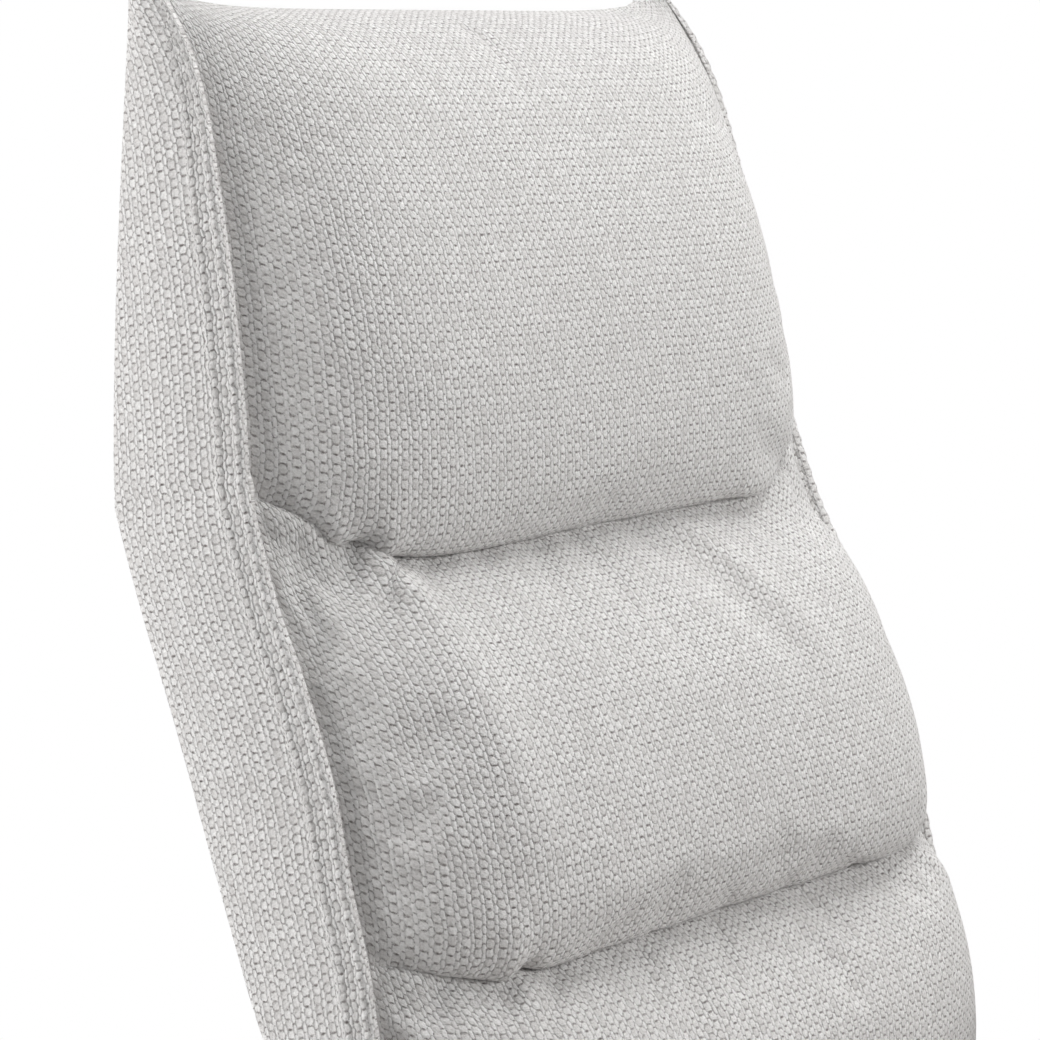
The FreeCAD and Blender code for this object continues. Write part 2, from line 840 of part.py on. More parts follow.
def lumbar_pillow():
    low_crease = (mid_crease[0], mid_crease[1] - pillow_gap)
    low_channel = (channel_rear[0], channel_rear[1] - pillow_gap)
    foot_rear = ahead(rear_foot, pillow_back, rear_lean)
    outline = [
        bow(lumbar_front_foot, low_crease, lumbar_pillow_rise),
        straight(low_crease, low_channel),
        straight(low_channel, foot_rear),
        straight(foot_rear, lumbar_front_foot),
    ]
    pillow = across(outline, -rail_inner, rail_inner)
    pillow = pillow.common(between_sides(side_panel_thickness + soft_clearance))
    return pillow.common(crown(back_foot, mid_seam, 0))


# Back frame


def back_upright():
    """The left upright: a square tube, its foot saddled onto the torque tube."""

    def bar(half):
        corners = leaning_strip(recline_pivot, upright_length, -half, half)
        return across(closed_path(corners), upright_x - half, upright_x + half)

    tube = bar(upright_half).cut(bar(upright_half - upright_wall))
    return tube.cut(rod_x(recline_pivot, torque_tube_radius, 0, torque_tube_half))


def back_crossbars():
    reach = upright_x - upright_half
    pitch = upright_length / (crossbar_count + 1)
    bars = []
    for index in range(crossbar_count):
        low = moved(recline_pivot, pitch * (index + 1) - crossbar_width / 2, rear_lean)
        corners = leaning_strip(low, crossbar_width, -crossbar_thickness / 2, crossbar_thickness / 2)
        bars.append(across(closed_path(corners), -reach, reach))
    return Part.makeCompound(bars)


def back_straps():
    reach = upright_x + back_strap_overlap
    pitch = upright_length / (back_strap_count + 1)
    straps = []
    for index in range(back_strap_count):
        low = moved(recline_pivot, pitch * (index + 1) - strap_width / 2, rear_lean)
        corners = leaning_strip(low, strap_width, upright_half, upright_half + strap_thickness)
        straps.append(across(closed_path(corners), -reach, reach))
    return Part.makeCompound(straps)


def torque_tube():
    inner = torque_tube_radius - torque_tube_wall
    return ring_x(recline_pivot, torque_tube_radius, inner, -torque_tube_half, torque_tube_half)


def recline_bush():
    bore = recline_pin_radius + running_clearance
    outer = torque_tube_radius - torque_tube_wall
    return ring_x(recline_pivot, outer, bore, torque_tube_half - recline_bush_length, torque_tube_half)


def horn_cheek():
    """One of the horn's two plates, its root saddled onto the torque tube."""
    x_from, x_to = horn_gap / 2, horn_gap / 2 + horn_plate
    tip = moved(horn_end, -horn_half_width, -half_recline)
    cheek = across(strip_path(recline_pivot, tip, horn_half_width), x_from, x_to)
    cheek = cheek.cut(rod_x(recline_pivot, torque_tube_radius, x_from, x_to))
    return cheek.cut(rod_x(horn_end, horn_pin_radius, x_from, x_to))


def horn_pin():
    reach = horn_gap / 2 + horn_plate + pin_end_proud
    return rod_x(horn_end, horn_pin_radius, -reach, reach)


# Gas spring


def gas_cylinder():
    eye_centre = (horn_end[0], gas_z)
    eye_half = horn_gap / 2 - gas_eye_side_gap
    shell = rod_y(gas_z, gas_cylinder_radius, gas_cylinder_front, gas_cylinder_rear)
    blade = block(
        (-eye_half, eye_half),
        (gas_cylinder_rear, horn_end[0] + gas_eye_radius),
        (gas_z - gas_eye_radius, gas_z + gas_eye_radius),
    )
    shell = shell.fuse(blade)
    bore_end = gas_cylinder_front + gas_rod_engaged + gas_stroke + gas_rod_spare
    shell = shell.cut(rod_y(gas_z, gas_rod_radius + seat_clearance, gas_cylinder_front, bore_end))
    return shell.cut(rod_x(eye_centre, gas_eye_bore, -eye_half, eye_half))


def gas_rod():
    rod = rod_y(gas_z, gas_rod_radius, gas_head_rear, gas_cylinder_front + gas_rod_engaged)
    head = block(
        (-gas_head_half_width, gas_head_half_width),
        (gas_head_front, gas_head_rear),
        (gas_z - gas_eye_radius, gas_z + gas_eye_radius),
    )
    button = rod_y(gas_z, gas_button_radius, gas_head_front - lever_button_length, gas_head_front)
    return rod.fuse([head, button])


def gas_bracket():
    """A bent bracket on the carriage, which clamps the gas spring's head between two cheeks."""
    inner, outer = gas_head_half_width, gas_head_half_width + gas_bracket_plate
    cheek_top = gas_z + gas_eye_radius
    outline = [
        (-outer, carriage_top),
        (outer, carriage_top),
        (outer, cheek_top),
        (inner, cheek_top),
        (inner, carriage_top + gas_bracket_plate),
        (-inner, carriage_top + gas_bracket_plate),
        (-inner, cheek_top),
        (-outer, cheek_top),
    ]
    return along(closed_path(outline, front), gas_head_front, gas_head_rear)


# Release lever


def release_shaft():
    shaft = rod_x(lever_axis, lever_shaft_radius, lever_inner, lever_finger_width)
    half = lever_finger_width / 2
    tip = (lever_axis[0], lever_axis[1] + lever_finger_tip)
    return shaft.fuse(across(strip_path(lever_axis, tip, half), -half, half)).removeSplitter()


def lever_bracket():
    x_from, x_to = -lever_bracket_x - gas_bracket_plate, -lever_bracket_x
    span = (lever_axis[0] - lever_boss_radius, lever_axis[0] + lever_boss_radius)
    plate = block((x_from, x_to), span, (carriage_top, lever_axis[1] + lever_boss_radius))
    return plate.cut(rod_x(lever_axis, lever_shaft_radius + running_clearance, x_from, x_to))


def lever_handle():
    path = link_path(lever_axis, lever_boss_radius, lever_tip, lever_tip_radius)
    return across(path, lever_outer, lever_inner)


def lever_grip():
    share = 1 - grip_length / math.hypot(lever_length, lever_rise)
    start = (
        lever_axis[0] + (lever_tip[0] - lever_axis[0]) * share,
        lever_axis[1] + (lever_tip[1] - lever_axis[1]) * share,
    )
    middle = (lever_inner + lever_outer) / 2
    grip = across(tongue_path(start, lever_tip, grip_radius), middle - grip_half, middle + grip_half)
    return grip.cut(lever_handle())


# Head section


def hinge_leaf_lower():
    x_from, x_to = leaf_lower_x, leaf_lower_x + hinge_leaf_thickness
    foot = moved(head_pivot, -hinge_leaf_length, rear_lean)
    leaf = across(tongue_path(foot, head_pivot, hinge_boss_radius), x_from, x_to)
    return leaf.cut(rod_x(head_pivot, hinge_pin_radius, x_from, x_to))


def hinge_leaf_upper():
    x_from, x_to = leaf_upper_x, leaf_upper_x + hinge_leaf_thickness
    leaf = across(tongue_path(leaf_head_end, head_pivot, hinge_boss_radius), x_from, x_to)
    return leaf.cut(rod_x(head_pivot, hinge_pin_radius + running_clearance, x_from, x_to))


def hinge_pin():
    return rod_x(head_pivot, hinge_pin_radius, leaf_lower_x, leaf_upper_x + hinge_leaf_thickness)


def head_frame():
    """A flat steel arch, cut from plate, between the two upper hinge leaves."""

    def arch(inset):
        half = leaf_upper_x - inset
        low, high = arch_bottom + inset, arch_top - inset
        outline = [
            (-half, low),
            (half, low),
            (half, high - arch_corner),
            (half - arch_corner, high),
            (arch_corner - half, high),
            (-half, high - arch_corner),
        ]
        return along(closed_path(outline, front), arch_front, arch_front + arch_thickness)

    return arch(0).cut(arch(arch_band))


def head_side_panel():
    outline = [
        bow(neck, head_top, head_seam_rise),
        straight(head_top, head_rear_top),
        straight(head_rear_top, rear_kink),
        straight(rear_kink, neck),
    ]
    panel = across(outline, 0, rail_inner)
    panel = panel.common(between_sides(0, side_panel_thickness))
    return panel.cut(neck_space(neck, True))


def head_rear_cover():
    corners = [
        rear_kink,
        head_rear_top,
        (head_rear_top[0] - rear_cover_thickness, head_rear_top[1]),
        (rear_kink[0] - rear_cover_thickness, rear_kink[1]),
    ]
    cover = across(closed_path(corners), -rail_inner, rail_inner)
    cover = cover.common(between_sides(side_panel_thickness + soft_clearance))
    return cover.cut(neck_space(neck, True))


def head_pillow():
    crest = (head_top[0], head_top[1] - head_pillow_top_drop)
    rear = min(head_rear_top[0], rear_kink[0]) - rear_cover_thickness - soft_clearance
    over_arch = arch_top + soft_clearance
    before_arch = arch_y - hinge_boss_radius - soft_clearance
    before_hinge = head_pivot[0] - hinge_boss_radius - hinge_soft_gap
    leaf_top = leaf_head_end[1] + soft_clearance
    outline = [
        bow(neck_crease, crest, head_pillow_rise),
        straight(crest, (rear, crest[1])),
        straight((rear, crest[1]), (rear, over_arch)),
        straight((rear, over_arch), (before_arch, over_arch)),
        straight((before_arch, over_arch), (before_arch, leaf_top)),
        straight((before_arch, leaf_top), (before_hinge, neck[1])),
        straight((before_hinge, neck[1]), (before_hinge, neck_crease[1])),
        straight((before_hinge, neck_crease[1]), neck_crease),
    ]
    pillow = across(outline, -rail_inner, rail_inner)
    pillow = pillow.common(between_sides(side_panel_thickness + soft_clearance))
    pillow = pillow.common(crown(neck, head_top, head_seam_rise))
    return pillow.cut(neck_space(neck_crease, True))


# Footrest


def footrest_arm():
    """The left arm: a dog-leg plate with a flange folded behind the board."""
    knee = (foot_arm_y, foot_pivot[1] - foot_arm_knee)
    heel = (foot_arm_y, foot_pivot[1] - foot_arm_length)
    thigh = link_path(foot_pivot, foot_boss_radius, knee, foot_arm_radius)
    upper = across(thigh, foot_arm_inner, foot_arm_outer)
    shin = rectangle((foot_arm_y - foot_arm_radius, heel[1]), (foot_arm_y + foot_arm_radius, knee[1]))
    lower = across(closed_path(shin), foot_arm_inner, foot_arm_outer)
    flange = block(
        (foot_arm_outer - foot_arm_flange, foot_arm_outer),
        (foot_board_rear, foot_board_rear + foot_arm_thickness),
        (heel[1], knee[1]),
    )
    arm = upper.fuse([lower, flange]).removeSplitter()
    return arm.cut(rod_x(foot_pivot, foot_pin_radius + foot_bush_wall, foot_arm_inner, foot_arm_outer))


def footrest_bush():
    bore = foot_pin_radius + running_clearance
    outer = foot_pin_radius + foot_bush_wall
    return ring_x(foot_pivot, outer, bore, foot_arm_inner, rail_inner - seat_clearance)


def footrest_board():
    height = (foot_bottom + foot_board_margin, foot_top - foot_board_margin)
    return block((-foot_half_width, foot_half_width), (foot_board_front, foot_board_rear), height)


def footrest_pad():
    corners = rectangle((foot_front, foot_bottom), (foot_pad_rear, foot_top))
    return across(rounded_path(corners, foot_pad_round), -foot_half_width, foot_half_width)


parts = {
    "base_mat": base_mat(),
    "base_plate": base_plate(),
    "column_tube": column_tube(),
    "column_sleeve": column_sleeve(),
    "swivel_spindle": swivel_spindle(),
    "carriage_plate": carriage_plate(),
    "cross_tubes": cross_tubes(),
    "side_rail_right": side_rail_with_lever_hole(),
    "side_rail_left": side_rail(),
    "recline_pins": both_sides(recline_pin()),
    "footrest_pins": both_sides(footrest_pin()),
    "seat_timbers": seat_timbers(),
    "seat_straps": seat_straps(),
    "seat_cushion": seat_cushion(),
    "arm_core_left": arm_core(),
    "arm_core_right": with_lever_hole(arm_core()),
    "arm_left": arm_cover(),
    "arm_right": with_lever_hole(arm_cover()),
    "rear_apron": rear_apron(),
    "back_side_panel_left": back_side_panel(),
    "back_side_panel_right": mirrored(back_side_panel()),
    "back_rear_cover": back_rear_cover(),
    "mid_pillow": mid_pillow(),
    "lumbar_pillow": lumbar_pillow(),
    "back_uprights": both_sides(back_upright()),
    "back_crossbars": back_crossbars(),
    "back_straps": back_straps(),
    "torque_tube": torque_tube(),
    "recline_bushes": both_sides(recline_bush()),
    "recline_horn": both_sides(horn_cheek()),
    "horn_pin": horn_pin(),
    "gas_cylinder": gas_cylinder(),
    "gas_rod": gas_rod(),
    "gas_bracket": gas_bracket(),
    "release_shaft": release_shaft(),
    "lever_bracket": lever_bracket(),
    "lever_handle": lever_handle(),
    "lever_grip": lever_grip(),
    "head_hinge_lower": both_sides(hinge_leaf_lower()),
    "head_hinge_upper": both_sides(hinge_leaf_upper()),
    "head_hinge_pins": both_sides(hinge_pin()),
    "head_frame": head_frame(),
    "head_side_panel_left": head_side_panel(),
    "head_side_panel_right": mirrored(head_side_panel()),
    "head_rear_cover": head_rear_cover(),
    "head_pillow": head_pillow(),
    "footrest_arm_left": footrest_arm(),
    "footrest_arm_right": mirrored(footrest_arm()),
    "footrest_bushes": both_sides(footrest_bush()),
    "footrest_board": footrest_board(),
    "footrest_pad": footrest_pad(),
}

os.makedirs("parts", exist_ok=True)
for name, shape in parts.items():
    shape.exportStep("parts/" + name + ".step")
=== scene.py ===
import json
import math

import bmesh
import bpy
import numpy as np
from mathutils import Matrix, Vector


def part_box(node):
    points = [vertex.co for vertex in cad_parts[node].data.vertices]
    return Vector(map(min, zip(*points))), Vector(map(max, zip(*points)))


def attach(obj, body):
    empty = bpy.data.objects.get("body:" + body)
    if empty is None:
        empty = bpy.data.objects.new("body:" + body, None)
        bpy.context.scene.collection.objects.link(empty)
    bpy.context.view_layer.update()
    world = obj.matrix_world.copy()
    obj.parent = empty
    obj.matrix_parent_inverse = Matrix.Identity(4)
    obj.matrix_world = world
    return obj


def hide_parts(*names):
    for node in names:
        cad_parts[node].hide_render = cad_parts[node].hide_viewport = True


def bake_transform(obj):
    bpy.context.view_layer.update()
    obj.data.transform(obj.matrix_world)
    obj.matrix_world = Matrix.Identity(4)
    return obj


# The looks of the recliner: soft pieces in place of the plain soft solids, finishes, floor, light
# and the photograph's camera. Measures are in metres.

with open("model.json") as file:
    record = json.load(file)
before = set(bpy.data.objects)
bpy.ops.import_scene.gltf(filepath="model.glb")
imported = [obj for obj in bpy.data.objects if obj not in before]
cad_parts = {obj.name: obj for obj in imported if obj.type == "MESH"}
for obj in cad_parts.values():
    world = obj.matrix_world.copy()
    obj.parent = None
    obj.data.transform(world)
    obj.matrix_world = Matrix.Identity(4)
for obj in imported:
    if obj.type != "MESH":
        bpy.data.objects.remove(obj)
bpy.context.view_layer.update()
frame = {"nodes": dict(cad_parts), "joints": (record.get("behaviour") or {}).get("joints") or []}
joints = {joint["name"]: joint for joint in frame["joints"]}
head_pivot = Vector(joints["head_tilt"]["pos_m"])
lever_pivot = Vector(joints["release_lever"]["pos_m"])

# The backrest is drawn as side-view points (y, z) measured from the neck point, where the front
# edge seam crosses the fold between the head and the back.
NECK_FROM_PIVOT = (-0.0838, 0.015)
NECK = np.array([head_pivot.y + NECK_FROM_PIVOT[0], head_pivot.z + NECK_FROM_PIVOT[1]])
REARWARDS = np.array([1.0, 0.0])
UPWARDS = np.array([0.0, 1.0])

# Backrest outline
NECK_HALF_WIDTH = 0.240
TAPER = 0.05               # half width gained per metre below the neck, as far as the next value
TAPER_DEPTH = 0.280
HEAD_TAPER = 0.080         # half width lost per metre above the neck
SEAM_LOWER = [(-0.156, -0.432), (-0.112, -0.281), (-0.103, -0.246), (-0.088, -0.204),
              (-0.073, -0.154), (-0.048, -0.101), (-0.022, -0.055), (0.0, 0.0)]
SEAM_UPPER = [(0.0, 0.0), (0.006, 0.040), (0.021, 0.109), (0.036, 0.164),
              (0.051, 0.211), (0.067, 0.241), (0.089, 0.268)]
REAR_LOWER = [(-0.100, -0.458), (-0.022, -0.301), (0.013, -0.228), (0.053, -0.143),
              (0.089, -0.072), (0.111, -0.023)]
REAR_UPPER = [(0.111, -0.023), (0.115, 0.040), (0.117, 0.104), (0.117, 0.168), (0.116, 0.268)]

# Pillow outlines on the centre line, from the lower crease to the upper one
HEAD_CENTRE = [(-0.020, -0.034), (-0.042, -0.049), (-0.055, -0.040), (-0.060, -0.010),
               (-0.056, 0.040), (-0.044, 0.092), (-0.026, 0.142), (-0.002, 0.187),
               (0.023, 0.226), (0.056, 0.252), (0.098, 0.260)]
MID_CENTRE = [(-0.124, -0.256), (-0.144, -0.262), (-0.155, -0.244), (-0.149, -0.200),
              (-0.132, -0.155), (-0.108, -0.112), (-0.083, -0.082), (-0.060, -0.062),
              (-0.042, -0.050), (-0.020, -0.033)]
LUMBAR_CENTRE = [(-0.140, -0.448), (-0.168, -0.446), (-0.184, -0.420), (-0.190, -0.375),
                 (-0.185, -0.330), (-0.172, -0.295), (-0.158, -0.273), (-0.142, -0.263),
                 (-0.124, -0.255)]
MID_SEAM = 2               # index of the mid seam among the lower seam points

# Pillow form
HEAD_EDGE_POWER = 6.6      # a higher power keeps a pillow flat nearer to its side seams
PILLOW_EDGE_POWER = 7.6
PILLOW_EDGE_ROOT = 1.10
SECTION_STEPS = 2001
PILLOW_DEPTH = 0.055       # typical bulge, by which the columns are spaced
PILLOW_INSET = 0.004       # from the side panels
PILLOW_SET_BACK = 0.010    # of a pillow's side edge behind the edge seam
HEAD_TOP_SET_BACK = 0.001  # the same at the top corners of the head
HEAD_TOP_REACH = 0.11      # how far below the top the two blend
PILLOW_BACK = 0.040        # bulge of the hidden rear side
PILLOW_OVERLAP = 0.004     # past the ends of the side edge
LIFT_POWER = 6
NECK_LIFT = 0.016          # the neck crease runs a little higher on the sitter's left
HELD_ROWS = 3              # vertices from a pillow's edge over which the cloth comes free
PILLOW_PRESSURE = 3.0
PILLOW_SLACK = 0.015
PILLOW_CAP = 0.008         # the furthest that the cloth moves a point
HEAD_SLACK = 0.002
HEAD_CAP = 0.004
FOLD_ENDS = (0.02, 0.98)
FOLD_TAPER = 0.6

# Woven fabric
COLUMN_PITCH = 0.0063      # one wide column of bumps and the thin one beside it
WIDE_SHARE = 0.66
SIDE_STRETCH = 0.72        # the side panels show the columns further apart
BUMP_PITCH = 0.0054

WEAVE = "Weave"


# Curves and grids

SPLINE_STEPS = 400
TINY = 1e-9


def spline(points, count):
    """Evenly spaced points on a smooth curve through the given ones."""
    knots = np.asarray(points, float)
    gaps = np.sqrt(np.linalg.norm(np.diff(knots, axis=0), axis=1))
    at = np.concatenate([[0.0], np.cumsum(gaps)])
    slope = np.gradient(knots, at, axis=0)
    fine = np.linspace(0, at[-1], SPLINE_STEPS)
    span = np.clip(np.searchsorted(at, fine, side="right") - 1, 0, len(at) - 2)
    width = (at[span + 1] - at[span])[:, None]
    s = (fine - at[span])[:, None] / width
    start = (2 * s**3 - 3 * s**2 + 1) * knots[span]
    leaving = (s**3 - 2 * s**2 + s) * width * slope[span]
    end = (3 * s**2 - 2 * s**3) * knots[span + 1]
    arriving = (s**3 - s**2) * width * slope[span + 1]
    return evenly(start + leaving + end + arriving, count)


def lengths(curve):
    """Distance along a polyline at each of its points."""
    return np.concatenate([[0.0], np.cumsum(np.linalg.norm(np.diff(curve, axis=0), axis=1))])


def evenly(curve, count):
    """A number of points spaced evenly along a polyline."""
    run = lengths(curve)
    wanted = np.linspace(0, run[-1], count)
    return np.stack([np.interp(wanted, run, values) for values in curve.T], axis=1)


def directions(curve):
    """The unit way along a polyline at each of its points."""
    way = np.gradient(curve, lengths(curve), axis=0)
    return way / np.linalg.norm(way, axis=1, keepdims=True)


def half_width(z):
    """Half the back's width over its side seams at a height above the neck."""
    gained = TAPER * np.clip(-z, 0, TAPER_DEPTH)
    lost = HEAD_TAPER * np.clip(z, 0, None)
    return NECK_HALF_WIDTH + gained - lost


def grid_quads(index, flip=False):
    """The faces between neighbours in a grid of vertex numbers."""
    a, b, c, d = index[:-1, :-1], index[:-1, 1:], index[1:, 1:], index[1:, :-1]
    quads = np.stack([a, b, c, d], axis=-1).reshape(-1, 4)
    return quads[:, ::-1] if flip else quads


def grid_normals(points):
    """The unit way out of a grid of points at each of them."""
    down = np.gradient(points, axis=0)
    over = np.gradient(points, axis=1)
    normal = np.cross(over, down)
    return normal / np.maximum(np.linalg.norm(normal, axis=-1, keepdims=True), TINY)


def new_object(name, data):
    thing = bpy.data.objects.new(name, data)
    bpy.context.scene.collection.objects.link(thing)
    return thing


def piece(name, points, quads, weave):
    """A mesh object from vertices and quads, with the weave laid on it in metres."""
    mesh = bpy.data.meshes.new(name)
    mesh.from_pydata(points.reshape(-1, 3).tolist(), [], [list(face) for face in quads])
    layer = mesh.uv_layers.new(name=WEAVE)
    corner = np.empty(len(mesh.loops), np.int32)
    mesh.loops.foreach_get("vertex_index", corner)
    layer.data.foreach_set("uv", np.asarray(weave, np.float32).reshape(-1, 2)[corner].ravel())
    mesh.polygons.foreach_set("use_smooth", [True] * len(mesh.polygons))
    mesh.update()
    return new_object(name, mesh)


def shell(name, points, weave, into, flip=False):
    """A grid of fabric with thickness: its outer face, the same face moved, and the rim."""
    rows, columns = points.shape[:2]
    outer = np.arange(rows * columns).reshape(rows, columns)
    inner = outer + rows * columns
    rim = np.concatenate(
        [outer[0, :-1], outer[:-1, -1], outer[-1, :0:-1], outer[:0:-1, 0], outer[0, :1]])
    around = np.stack([rim, rim + rows * columns])
    quads = np.concatenate(
        [grid_quads(outer, flip), grid_quads(inner, not flip), grid_quads(around, not flip)])
    both = np.concatenate([points.reshape(-1, 3), (points + np.asarray(into)).reshape(-1, 3)])
    return piece(name, both, quads, np.concatenate([weave.reshape(-1, 2)] * 2))


def positions(mesh):
    co = np.empty(len(mesh.vertices) * 3)
    mesh.vertices.foreach_get("co", co)
    return co.reshape(-1, 3)


def move_to(thing, co):
    thing.data.vertices.foreach_set("co", co.ravel())
    thing.data.update()


def in_space(x, side):
    """Points in space from widths and side-view points measured from the neck."""
    y, z = side[..., 0] + NECK[0], side[..., 1] + NECK[1]
    return np.stack(np.broadcast_arrays(x, y, z), axis=-1)


# Cloth

HELD = "held"
CLOTH_FRAMES = 20
CLOTH_SETTINGS = {
    "vertex_group_mass": HELD,
    "use_pressure": True,
    "bending_stiffness": 2.0,
    "tension_stiffness": 30,
    "compression_stiffness": 30,
    "air_damping": 4,
    "quality": 6,
}
to_settle = []


def will_settle(thing, held, pressure, slack, cap):
    """Marks a closed piece to be blown up as cloth, with a held weight (0 to 1) at each vertex."""
    group = thing.vertex_groups.new(name=HELD)
    for index, weight in enumerate(held):
        if weight > 0:
            group.add([index], float(weight), "REPLACE")
    to_settle.append((thing, pressure, slack, cap))


def settle_all():
    """Runs all cloth at once, caps how far a point moves, and leaves plain meshes."""
    scene = bpy.context.scene
    for thing, pressure, slack, _ in to_settle:
        cloth = thing.modifiers.new("settle", "CLOTH")
        for setting, value in CLOTH_SETTINGS.items():
            setattr(cloth.settings, setting, value)
        cloth.settings.uniform_pressure_force = pressure
        cloth.settings.effector_weights.gravity = 0
        cloth.settings.shrink_min = -slack
        cloth.point_cache.frame_start = 1
        cloth.point_cache.frame_end = CLOTH_FRAMES
    for number in range(1, CLOTH_FRAMES + 1):
        scene.frame_set(number)
    graph = bpy.context.evaluated_depsgraph_get()
    for thing, _, _, cap in to_settle:
        before = positions(thing.data)
        move = positions(thing.evaluated_get(graph).data) - before
        far = np.linalg.norm(move, axis=1, keepdims=True)
        thing.modifiers.clear()
        move_to(thing, before + move * np.minimum(1, cap / np.maximum(far, TINY)))
    scene.frame_set(1)


# Backrest pillows

to_fold = []


def crown(u, power=PILLOW_EDGE_POWER):
    """How far a pillow stands out across its width: 1 in the middle, 0 at its side seams."""
    return (1 - np.abs(u) ** power) ** (1 / PILLOW_EDGE_ROOT)


def across_steps(columns, power):
    """Widths from -1 to 1, spaced evenly along a pillow's rounded section, and that spacing."""
    u = np.linspace(-1, 1, SECTION_STEPS)
    section = np.stack([u * NECK_HALF_WIDTH, crown(u, power) * PILLOW_DEPTH], axis=1)
    run = lengths(section)
    wanted = np.linspace(0, run[-1], columns)
    return np.interp(wanted, run, u), wanted - run[-1] / 2


def fold_all():
    """Presses the folds into the settled pillows."""
    for thing, (rows, columns), run, rise, folds in to_fold:
        co = positions(thing.data)
        front = co[: rows * columns].reshape(rows, columns, 3)
        co[: rows * columns] = folds_on(front, run, rise, folds).reshape(-1, 3)
        move_to(thing, co)


def folds_on(points, run, rise, folds):
    """Soft ridges and hollows along short lines on a pillow's front."""
    place = np.stack(np.meshgrid(run, rise), axis=-1)
    shift = np.zeros(points.shape[:2])
    for (u0, t0), (u1, t1), wide, high in folds:
        start = np.array([u0 * run[-1], t0 * rise[-1]])
        way = np.array([u1 * run[-1], t1 * rise[-1]]) - start
        along = np.clip((place - start) @ way / (way @ way), 0, 1)
        away = np.linalg.norm(place - start - along[..., None] * way, axis=-1)
        taper = np.sin(np.pi * np.clip(along, *FOLD_ENDS)) ** FOLD_TAPER
        shift += high * taper * np.exp(-((away / wide) ** 2))
    return points + grid_normals(points) * shift[..., None]


def pillow(name, seam, centre, rows, columns, folds, power=PILLOW_EDGE_POWER, lift=(0.0, 0.0),
           top_set_back=PILLOW_SET_BACK, slack=PILLOW_SLACK, cap=PILLOW_CAP):
    """A closed roll between two creases, with its front bulging from the side seams."""
    edge = spline(seam, rows)
    from_top = lengths(edge)[::-1]
    set_back = np.interp(from_top, [0, HEAD_TOP_REACH], [top_set_back, PILLOW_SET_BACK])
    overlap = (edge[-1] - edge[0]) / np.linalg.norm(edge[-1] - edge[0]) * PILLOW_OVERLAP
    edge = edge + set_back[:, None] * REARWARDS + np.linspace(-1, 1, rows)[:, None] * overlap
    middle = spline(centre, rows)
    u, run = across_steps(columns, power)
    x = u[None, :] * (half_width(edge[:, 1]) - PILLOW_INSET)[:, None]
    t = np.linspace(0, 1, rows)[:, None]
    share = crown(u, power)[None, :, None]
    raised = lift[0] * (1 - t) ** LIFT_POWER + lift[1] * t**LIFT_POWER
    raised = (raised * (1 + u)[None, :] / 2 * share[..., 0])[..., None] * UPWARDS
    hidden = middle[0] * (1 - t) + middle[-1] * t + np.sin(np.pi * t) * PILLOW_BACK * REARWARDS
    front, back = (in_space(x, edge[:, None] + (line - edge)[:, None] * share + raised)
                   for line in (middle, hidden))

    outer = np.arange(rows * columns).reshape(rows, columns)
    inner = outer.copy()
    inside = np.arange((rows - 2) * (columns - 2)).reshape(rows - 2, columns - 2)
    inner[1:-1, 1:-1] = rows * columns + inside
    quads = np.concatenate([grid_quads(outer), grid_quads(inner, flip=True)])
    points = np.concatenate([front.reshape(-1, 3), back[1:-1, 1:-1].reshape(-1, 3)])
    up = np.linalg.norm(np.diff(front, axis=0), axis=-1)
    up = np.concatenate([np.zeros((1, columns)), np.cumsum(up, axis=0)])
    weave = np.stack([np.broadcast_to(run, up.shape), up - up[rows // 2]], axis=-1)
    weave = np.concatenate([weave.reshape(-1, 2), weave[1:-1, 1:-1].reshape(-1, 2)])
    thing = piece(name, points, quads, weave)

    to_fold.append((thing, (rows, columns), run, lengths(middle), folds))
    from_edge = np.minimum.outer(np.minimum(np.arange(rows), np.arange(rows)[::-1]),
                                 np.minimum(np.arange(columns), np.arange(columns)[::-1]))
    held = np.ones(len(points))
    held[: rows * columns] = np.clip(1 - from_edge.ravel() / HELD_ROWS, 0, 1)
    will_settle(thing, held, PILLOW_PRESSURE, slack, cap)
    return thing


# Each fold runs from one point to another, in shares of half the pillow's width and of its height,
# followed by how wide and how high it is.
HEAD_FOLDS = [
    ((-0.68, 0.13), (-0.715, 0.005), 0.006, 0.0055),
    ((-0.74, 0.11), (-0.735, 0.005), 0.007, -0.0055),
    ((-0.82, 0.12), (-0.755, 0.010), 0.006, 0.0050),
    ((0.45, 0.13), (0.72, 0.03), 0.012, 0.005),
    ((0.52, 0.20), (0.80, 0.07), 0.012, -0.005),
]
MID_FOLDS = [
    ((-0.95, 0.955), (-0.73, 0.985), 0.013, 0.009),
    ((0.73, 0.985), (0.95, 0.955), 0.013, 0.008),
    ((0.12, 0.93), (0.38, 0.52), 0.016, -0.004),
    ((0.20, 0.95), (0.46, 0.52), 0.014, 0.003),
    ((-0.71, 0.985), (-0.655, 0.78), 0.012, 0.010),
    ((-0.665, 0.86), (-0.60, 0.25), 0.020, 0.005),
    ((0.52, 0.97), (0.84, 0.90), 0.012, 0.006),
    ((0.50, 0.88), (0.80, 0.78), 0.016, -0.004),
    ((-0.685, 0.20), (-0.675, 0.01), 0.008, 0.004),
    ((-0.64, 0.16), (-0.64, 0.01), 0.009, -0.004),
]
LUMBAR_FOLDS = [
    ((-0.95, 0.955), (-0.72, 0.985), 0.012, 0.005),
    ((0.60, 0.99), (0.80, 0.80), 0.012, 0.006),
    ((-0.69, 0.985), (-0.60, 0.84), 0.014, 0.005),
]

